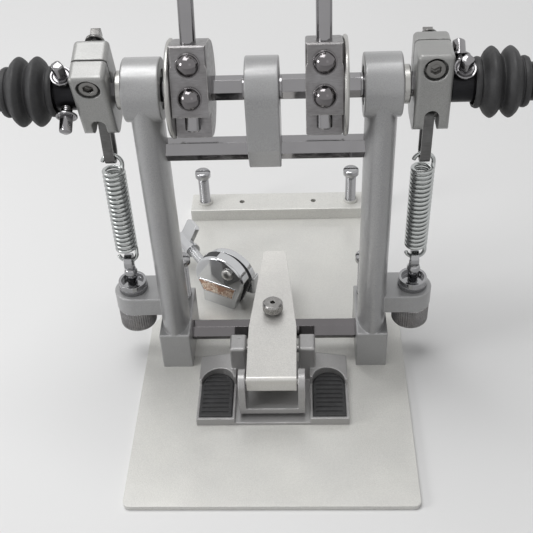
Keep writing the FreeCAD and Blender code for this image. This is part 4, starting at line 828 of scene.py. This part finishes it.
def apply_modifiers(obj):
    """Turns an object's modifiers into its mesh."""
    bpy.context.view_layer.update()
    shaped = obj.evaluated_get(bpy.context.evaluated_depsgraph_get())
    mesh = bpy.data.meshes.new_from_object(shaped)
    obj.modifiers.clear()
    obj.data = mesh


def slotted(obj, centre, top):
    """Cuts a screwdriver slot in a head, straight through along X."""
    length = SPUR_HEAD_RADIUS + OVERRUN
    x = (centre.x - length, centre.x + length)
    y = (centre.y - SPUR_SLOT_WIDTH / 2, centre.y + SPUR_SLOT_WIDTH / 2)
    z = (top - SPUR_SLOT_DEPTH, top + OVERRUN)
    corners = [Vector((a, b, c)) for a in x for b in y for c in z]
    faces = [(0, 1, 3, 2), (4, 6, 7, 5), (0, 4, 5, 1), (2, 3, 7, 6), (0, 2, 6, 4), (1, 5, 7, 3)]
    mesh = bpy.data.meshes.new("slot_cutter")
    mesh.from_pydata(corners, [], faces)
    cutter = new_object("slot_cutter", mesh)
    cut = obj.modifiers.new("slot", "BOOLEAN")
    cut.object = cutter
    cut.operation = "DIFFERENCE"
    apply_modifiers(obj)
    bpy.data.objects.remove(cutter)


def spur(node):
    """Pointed screw with a real thread and a slotted pan head."""
    low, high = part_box(node)
    centre = Vector(((low.x + high.x) / 2, (low.y + high.y) / 2, 0))
    neck = high.z - SPUR_HEAD_HEIGHT
    shank, rings = threaded(SPUR_RADIUS, SPUR_THREAD_DEPTH, SPUR_PITCH, low.z + SPUR_TIP, neck)
    tip = circle_rings([(SPUR_RADIUS / THREAD_SIDES, low.z)], THREAD_SIDES)
    edge = SPUR_HEAD_RADIUS - SPUR_HEAD_ROUND
    head = [(SPUR_HEAD_RADIUS, neck), (SPUR_HEAD_RADIUS, high.z - SPUR_HEAD_ROUND)]
    for step in range(1, EDGE_STEPS + 1):
        angle = math.pi / 2 * step / EDGE_STEPS
        rise = SPUR_HEAD_ROUND * math.sin(angle)
        head.append((edge + SPUR_HEAD_ROUND * math.cos(angle), high.z - SPUR_HEAD_ROUND + rise))
    verts = tip + shank + circle_rings(head, THREAD_SIDES)
    rows = 1 + rings + len(head)
    faces = capped_faces(rows, THREAD_SIDES)
    # The spur's darker chrome is painted shade
    obj = add_mesh(node + "_screw", [centre + point for point in verts], faces, "chrome", "mirror")
    slotted(obj, centre, high.z)
    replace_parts(obj, node)
    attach(obj, node)


# Pads

def pad_rows(low, high):
    """Places along the pad with the half width at each."""
    radius = PAD_WIDTH / 2
    centre = high.y - radius
    rows = []
    for row in range(PAD_ROWS + 1):
        y = low.y + (high.y - low.y) * row / PAD_ROWS
        beyond = max(0, y - centre)
        rows.append((y, math.sqrt(max(radius ** 2 - beyond ** 2, PAD_EDGE ** 2))))
    return rows


def pad_height(y, inside, low, high):
    """Height lost at a place on the pad: grooves within a border, and a round edge."""
    pitch = (high.y - low.y) / (PAD_RIBS + 1)
    phase = (y - low.y) / pitch
    ribbed = 0.5 < phase < PAD_RIBS + 0.5
    groove = max(0, math.cos(2 * math.pi * phase)) if ribbed else 0
    open_share = min(1, max(0, inside / PAD_BORDER - 1) * PAD_SLOPE)
    edge = max(0, 1 - inside / PAD_EDGE)
    return PAD_GROOVE * groove * open_share + PAD_EDGE * (1 - math.sqrt(1 - edge ** 2))


def pad(side):
    """Ribbed rubber pad with a smooth border."""
    low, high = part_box("clamp_pads")
    middle = SIDES[side] * (high.x - PAD_WIDTH / 2)
    top = []
    under = []
    for y, half in pad_rows(low, high):
        for column in range(PAD_COLUMNS + 1):
            x = half * (2 * column / PAD_COLUMNS - 1)
            inside = min(half - abs(x), y - low.y, high.y - y)
            top.append(Vector((middle + x, y, high.z - pad_height(y, inside, low, high))))
            under.append(Vector((middle + x, y, low.z)))
    faces = slab_faces(PAD_ROWS + 1, PAD_COLUMNS + 1)
    obj = add_mesh(side + "_ribbed_pad", top + under, faces, "rubber")
    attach(obj, "frame")
    return obj


# Key bolts, thread ridges and knurls

def ridge(name, place, direction, radius, span, body, look):
    """Helical thread ridge round a bolt, between two distances along it."""
    turn = Vector((0, 0, 1)).rotation_difference(direction)
    steps = int((span[1] - span[0]) / BOLT_PITCH * RIDGE_STEPS)
    points = []
    for step in range(steps + 1):
        angle = 2 * math.pi * step / RIDGE_STEPS
        rise = along(span, step / steps)
        reach = radius - RIDGE_SINK
        points.append(place + turn @ Vector((reach * math.cos(angle), reach * math.sin(angle), rise)))
    verts, faces = tube(points, RIDGE_RADIUS, RIDGE_SIDES)
    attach(add_mesh(name, verts, faces, "chrome", look), body)


def square_ring(half, height):
    """Points of a square with rounded corners, at a height."""
    points = []
    for side in range(BOLT_SIDES):
        angle = 2 * math.pi * side / BOLT_SIDES
        spread = abs(math.cos(angle)) ** BOLT_HEAD_POWER + abs(math.sin(angle)) ** BOLT_HEAD_POWER
        reach = half * spread ** (-1 / BOLT_HEAD_POWER)
        turned = angle + BOLT_HEAD_TURN
        points.append(Vector((reach * math.cos(turned), reach * math.sin(turned), height)))
    return points


def key_bolt(name, middle, outward):
    """Key bolt with a hollow flange and a rounded square head."""
    across = Vector((1, 0, 0))
    turn = Matrix((across, outward.cross(across), outward)).transposed()
    twist = Matrix.Rotation(BOLT_HEAD_TURN, 3, "Z")
    rounds = [(BOLT_RADIUS, -BOLT_ROOT), *BOLT_FLANGE, *BOLT_CUP]
    local = [twist @ point for point in circle_rings(rounds, BOLT_SIDES)]
    for half, height in BOLT_HEAD:
        local += square_ring(half, height)
    rows = len(rounds) + len(BOLT_HEAD)
    faces = capped_faces(rows, BOLT_SIDES)
    verts = [middle + outward * BOLT_OUT + turn @ point for point in local]
    # The key bolt's darker chrome is painted shade
    obj = add_mesh(name, verts, faces, "chrome", "bar")
    obj.data.set_sharp_from_angle(angle=BOLT_CREASE)
    return obj


def collar_bolts(side):
    """Both key bolts of a joint's collar, with their threads."""
    node = side + "_collar_bolts"
    low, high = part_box(node)
    middle = Vector(((low.x + high.x) / 2, 0, JOINTS[side + "_stroke"]["pos_m"][2]))
    for index, degrees in enumerate(BOLT_ANGLES[side]):
        angle = math.radians(degrees)
        outward = Vector((0, -math.cos(angle), math.sin(angle)))
        bolt = key_bolt(side + "_key_bolt_" + str(index), middle, outward)
        if index == 0:
            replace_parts(bolt, node)
        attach(bolt, side + "_rocker")
        span = (BOLT_OUT - BOLT_STANDOFF, BOLT_OUT)
        name = side + "_collar_thread_" + str(index)
        # The thread's darker chrome is painted shade
        ridge(name, middle, outward, BOLT_RADIUS, span, side + "_rocker", "key")


def clip_ridge():
    """Thread of the clip's screw."""
    axis = Vector(JOINTS["clip_turn"]["axis"])
    place = joint_place("clip_turn") - axis * CLIP_THREAD[0]
    span = (CLIP_THREAD[0] + BOLT_STANDOFF, CLIP_THREAD[1])
    ridge("clip_screw_thread", place, axis, CLIP_THREAD_RADIUS, span, "clip_key", "chrome")


def knurl(name, centre, radius, heights, body, look):
    """Toothed band round an upright nut or screw head."""
    sides = KNURL_TEETH * KNURL_STEPS
    bottom, top = heights
    band = ((True, bottom), (False, bottom), (False, top), (True, top))
    verts = []
    for inner, height in band:
        for side in range(sides):
            angle = 2 * math.pi * side / sides
            tooth = KNURL_DEPTH if side % KNURL_STEPS in KNURL_CREST else 0
            reach = radius - KNURL_DEPTH if inner else radius + tooth
            x = centre.x + reach * math.cos(angle)
            y = centre.y + reach * math.sin(angle)
            verts.append(Vector((x, y, height)))
    faces = looped_faces(len(band), sides)
    obj = add_mesh(name, verts, faces, "grey_metal", look)
    obj.data.shade_flat()
    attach(obj, body)


def knurls():
    """Knurls of the spring nuts and of the clamp's jack screw."""
    for side in SIDES:
        centre = joint_place(side + "_tension_turn")
        # The cup knurl's darker chrome is painted shade
        knurl(side + "_cup_knurl", centre, CUP_NUT_RADIUS, CUP_KNURL, side + "_tension_nuts", "mirror")
        knurl(side + "_knob_knurl", centre, KNOB_RADIUS, KNOB_KNURL, side + "_tension_nuts", "hub")
    knurl("jack_knurl", Vector((0, 0, 0)), JACK_RADIUS, JACK_KNURL, "clamp_jack", "grey_metal")


# Clip's details

def window_place(across, up):
    """Place on the clip's front face, by shares of the window's width and height."""
    row = (along(WINDOW_LOW_X, across), along(WINDOW_HIGH_X, across))
    return Vector((along(row, up), 0, along(WINDOW_Z, up)))


def clip_frame():
    """Turn and place of the clip on the plate."""
    return Matrix.Translation(CLIP_CORNER) @ Matrix.Rotation(CLIP_TURN, 4, "Z")


def clip_window():
    """Rough copper-coloured plate in the clip's window."""
    turn = clip_frame()
    front = []
    back = []
    for row in range(WINDOW_STEPS + 1):
        for column in range(WINDOW_STEPS + 1):
            place = window_place(column / WINDOW_STEPS, row / WINDOW_STEPS)
            rough = smooth_noise.fractal(place * WINDOW_GRAIN, *RIPPLE)
            front.append(turn @ (place - Vector((0, WINDOW_PROUD + WINDOW_ROUGHNESS * rough, 0))))
            back.append(turn @ (place - Vector((0, WINDOW_SEAT, 0))))
    faces = slab_faces(WINDOW_STEPS + 1, WINDOW_STEPS + 1)
    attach(add_mesh("clip_window_plate", front + back, faces, "chrome", "copper"), "frame")


def clip_window_lip():
    """Rounded lip round the clip's window."""
    turn = clip_frame()
    corners = [(0, 0), (1, 0), (1, 1), (0, 1)]
    points = []
    for (first, low), (last, high) in zip(corners, corners[1:] + corners[:1]):
        for step in range(1, WINDOW_STEPS):
            share = step / WINDOW_STEPS
            points.append(turn @ window_place(along((first, last), share), along((low, high), share)))
    verts, faces = tube(points + points[:2], LIP_RADIUS, LIP_SIDES)
    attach(add_mesh("clip_window_lip", verts, faces, "chrome"), "frame")


def arc_centre(first, middle, last):
    """Centre of the circle through three points of a plane."""
    a, b, c = Vector(first), Vector(middle), Vector(last)
    squares = (a.length_squared, b.length_squared, c.length_squared)
    twice = 2 * (a.x * (b.y - c.y) + b.x * (c.y - a.y) + c.x * (a.y - b.y))
    x = squares[0] * (b.y - c.y) + squares[1] * (c.y - a.y) + squares[2] * (a.y - b.y)
    y = squares[0] * (c.x - b.x) + squares[1] * (a.x - c.x) + squares[2] * (b.x - a.x)
    return Vector((x / twice, y / twice))


def clip_rivet():
    """Bright domed cap of the clip's rivet."""
    turn = Matrix.Translation(RIVET_PLACE) @ Matrix.Rotation(math.pi / 2, 4, "X")
    place = clip_frame() @ turn
    profile = list(zip(RIVET_RADII, RIVET_HEIGHTS))
    verts = [place @ point for point in circle_rings(profile, RIVET_SIDES)]
    faces = capped_faces(len(profile), RIVET_SIDES)
    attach(add_mesh("clip_rivet_cap", verts, faces, "chrome", "nickel"), "frame")


def clip_insert():
    """Rubber seen in the opening on top of the clip."""
    turn = clip_frame()
    centre = arc_centre(*CLIP_ARC)
    radius = (Vector(CLIP_ARC[0]) - centre).length
    layers = []
    for reach in (radius + INSERT_PROUD, radius - INSERT_DEPTH):
        for row in range(INSERT_STEPS + 1):
            for column in range(INSERT_STEPS + 1):
                x = along(INSERT_X, column / INSERT_STEPS)
                y = along(INSERT_Y, row / INSERT_STEPS)
                angle = math.acos((x - centre.x) / radius)
                outward = Vector((math.cos(angle), 0, math.sin(angle)))
                layers.append(turn @ (Vector((centre.x, y, centre.y)) + outward * reach))
    faces = slab_faces(INSERT_STEPS + 1, INSERT_STEPS + 1)
    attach(add_mesh("clip_insert", layers, faces, "rubber"), "frame")


# Eyebolts

def eyebolt_shoulder(side):
    """Turned shoulder below the eye of an eyebolt."""
    centre = joint_place(side + "_tension_turn")
    profile = list(zip(SHOULDER_RADII, SHOULDER_HEIGHTS))
    axis = Vector((centre.x, centre.y, 0))
    verts = [axis + point for point in circle_rings(profile, SHOULDER_SIDES)]
    faces = capped_faces(len(profile), SHOULDER_SIDES)
    # The shoulder's darker chrome is painted shade
    obj = add_mesh(side + "_eyebolt_shoulder", verts, faces, "chrome", "mirror")
    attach(obj, side + "_hook")


# Camera, lamps and floor

def camera():
    """Camera of the photograph."""
    data = bpy.data.cameras.new("photo_camera")
    data.sensor_width = SENSOR
    data.lens = SENSOR * FOCAL_PIXELS / IMAGE_WIDTH
    data.clip_start = CAMERA_NEAR
    obj = new_object("photo_camera", data)
    axes = Matrix((CAMERA_RIGHT, CAMERA_UP, CAMERA_BACK)).transposed()
    obj.matrix_world = Matrix.Translation(CAMERA_PLACE) @ axes.to_4x4()
    bpy.context.scene.camera = obj


def lamps():
    """Soft lamps, all aimed at the same place."""
    for name, (place, size, power) in LAMPS.items():
        data = bpy.data.lights.new(name, "AREA")
        data.size = size
        data.energy = power
        obj = new_object(name, data)
        obj.location = place
        heading = Vector(LAMP_AIM) - Vector(place)
        obj.rotation_euler = heading.to_track_quat("-Z", "Y").to_euler()


def seen_rays(tree):
    """1 for rays that see or mirror a place, 0 for those that light it."""
    path = tree.nodes.new("ShaderNodeLightPath")
    seen = path.outputs["Is Camera Ray"]
    for kind in ("Is Glossy Ray", "Is Transmission Ray"):
        more = tree.nodes.new("ShaderNodeMath")
        more.operation = "MAXIMUM"
        tree.links.new(seen, more.inputs[0])
        tree.links.new(path.outputs[kind], more.inputs[1])
        seen = more.outputs["Value"]
    return seen


def world():
    """White where it is seen or mirrored, a plain level where it lights."""
    scene_world = bpy.data.worlds.new("studio")
    bpy.context.scene.world = scene_world
    scene_world.use_nodes = True
    tree = scene_world.node_tree
    background = tree.nodes["Background"]
    background.inputs["Color"].default_value = (*WHITE, 1)
    level = tree.nodes.new("ShaderNodeMapRange")
    level.inputs["To Min"].default_value = WORLD_LIGHT
    level.inputs["To Max"].default_value = 1
    tree.links.new(seen_rays(tree), level.inputs["Value"])
    tree.links.new(level.outputs["Result"], background.inputs["Strength"])


def fade_to_white(look):
    """Lets the far floor run into the white background."""
    tree = look.tree
    away = tree.nodes.new("ShaderNodeVectorMath")
    away.operation = "LENGTH"
    look.join(look.place, away.inputs[0])
    far = look.span(away.outputs["Value"], FADE_START, FADE_END, 0, 1)
    white = tree.nodes.new("ShaderNodeEmission")
    white.inputs["Color"].default_value = (*WHITE, 1)
    mixed = tree.nodes.new("ShaderNodeMixShader")
    look.join(look.maths("MULTIPLY", far, seen_rays(tree)), mixed.inputs[0])
    look.join(look.shader.outputs["BSDF"], mixed.inputs[1])
    look.join(white.outputs["Emission"], mixed.inputs[2])
    look.join(mixed.outputs["Shader"], tree.nodes["Material Output"].inputs["Surface"])


def floor():
    """Pale floor just below the part."""
    look = Look("floor_pale", FLOOR_ROUGHNESS)
    look.colour(look.tint("floor", WHITE))
    fade_to_white(look)
    half = FLOOR_HALF
    corners = [(-half, -half), (half, -half), (half, half), (-half, half)]
    mesh = bpy.data.meshes.new("floor")
    mesh.from_pydata([(x, y, -FLOOR_DROP) for x, y in corners], [], [(0, 1, 2, 3)])
    mesh.materials.append(look.material)
    obj = new_object("floor", mesh)


bpy.context.scene.view_settings.view_transform = "Standard"
dress_nodes()
for side in SIDES:
    spring(side)
    boot(side)
    beater_head(side)
    spur(side + "_front_spur")
    spur(side + "_rear_spur")
    collar_bolts(side)
    eyebolt_shoulder(side)
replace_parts(pad("left"), "clamp_pads")
pad("right")
clip_ridge()
clip_window()
clip_window_lip()
clip_rivet()
clip_insert()
knurls()
camera()
lamps()
world()
floor()
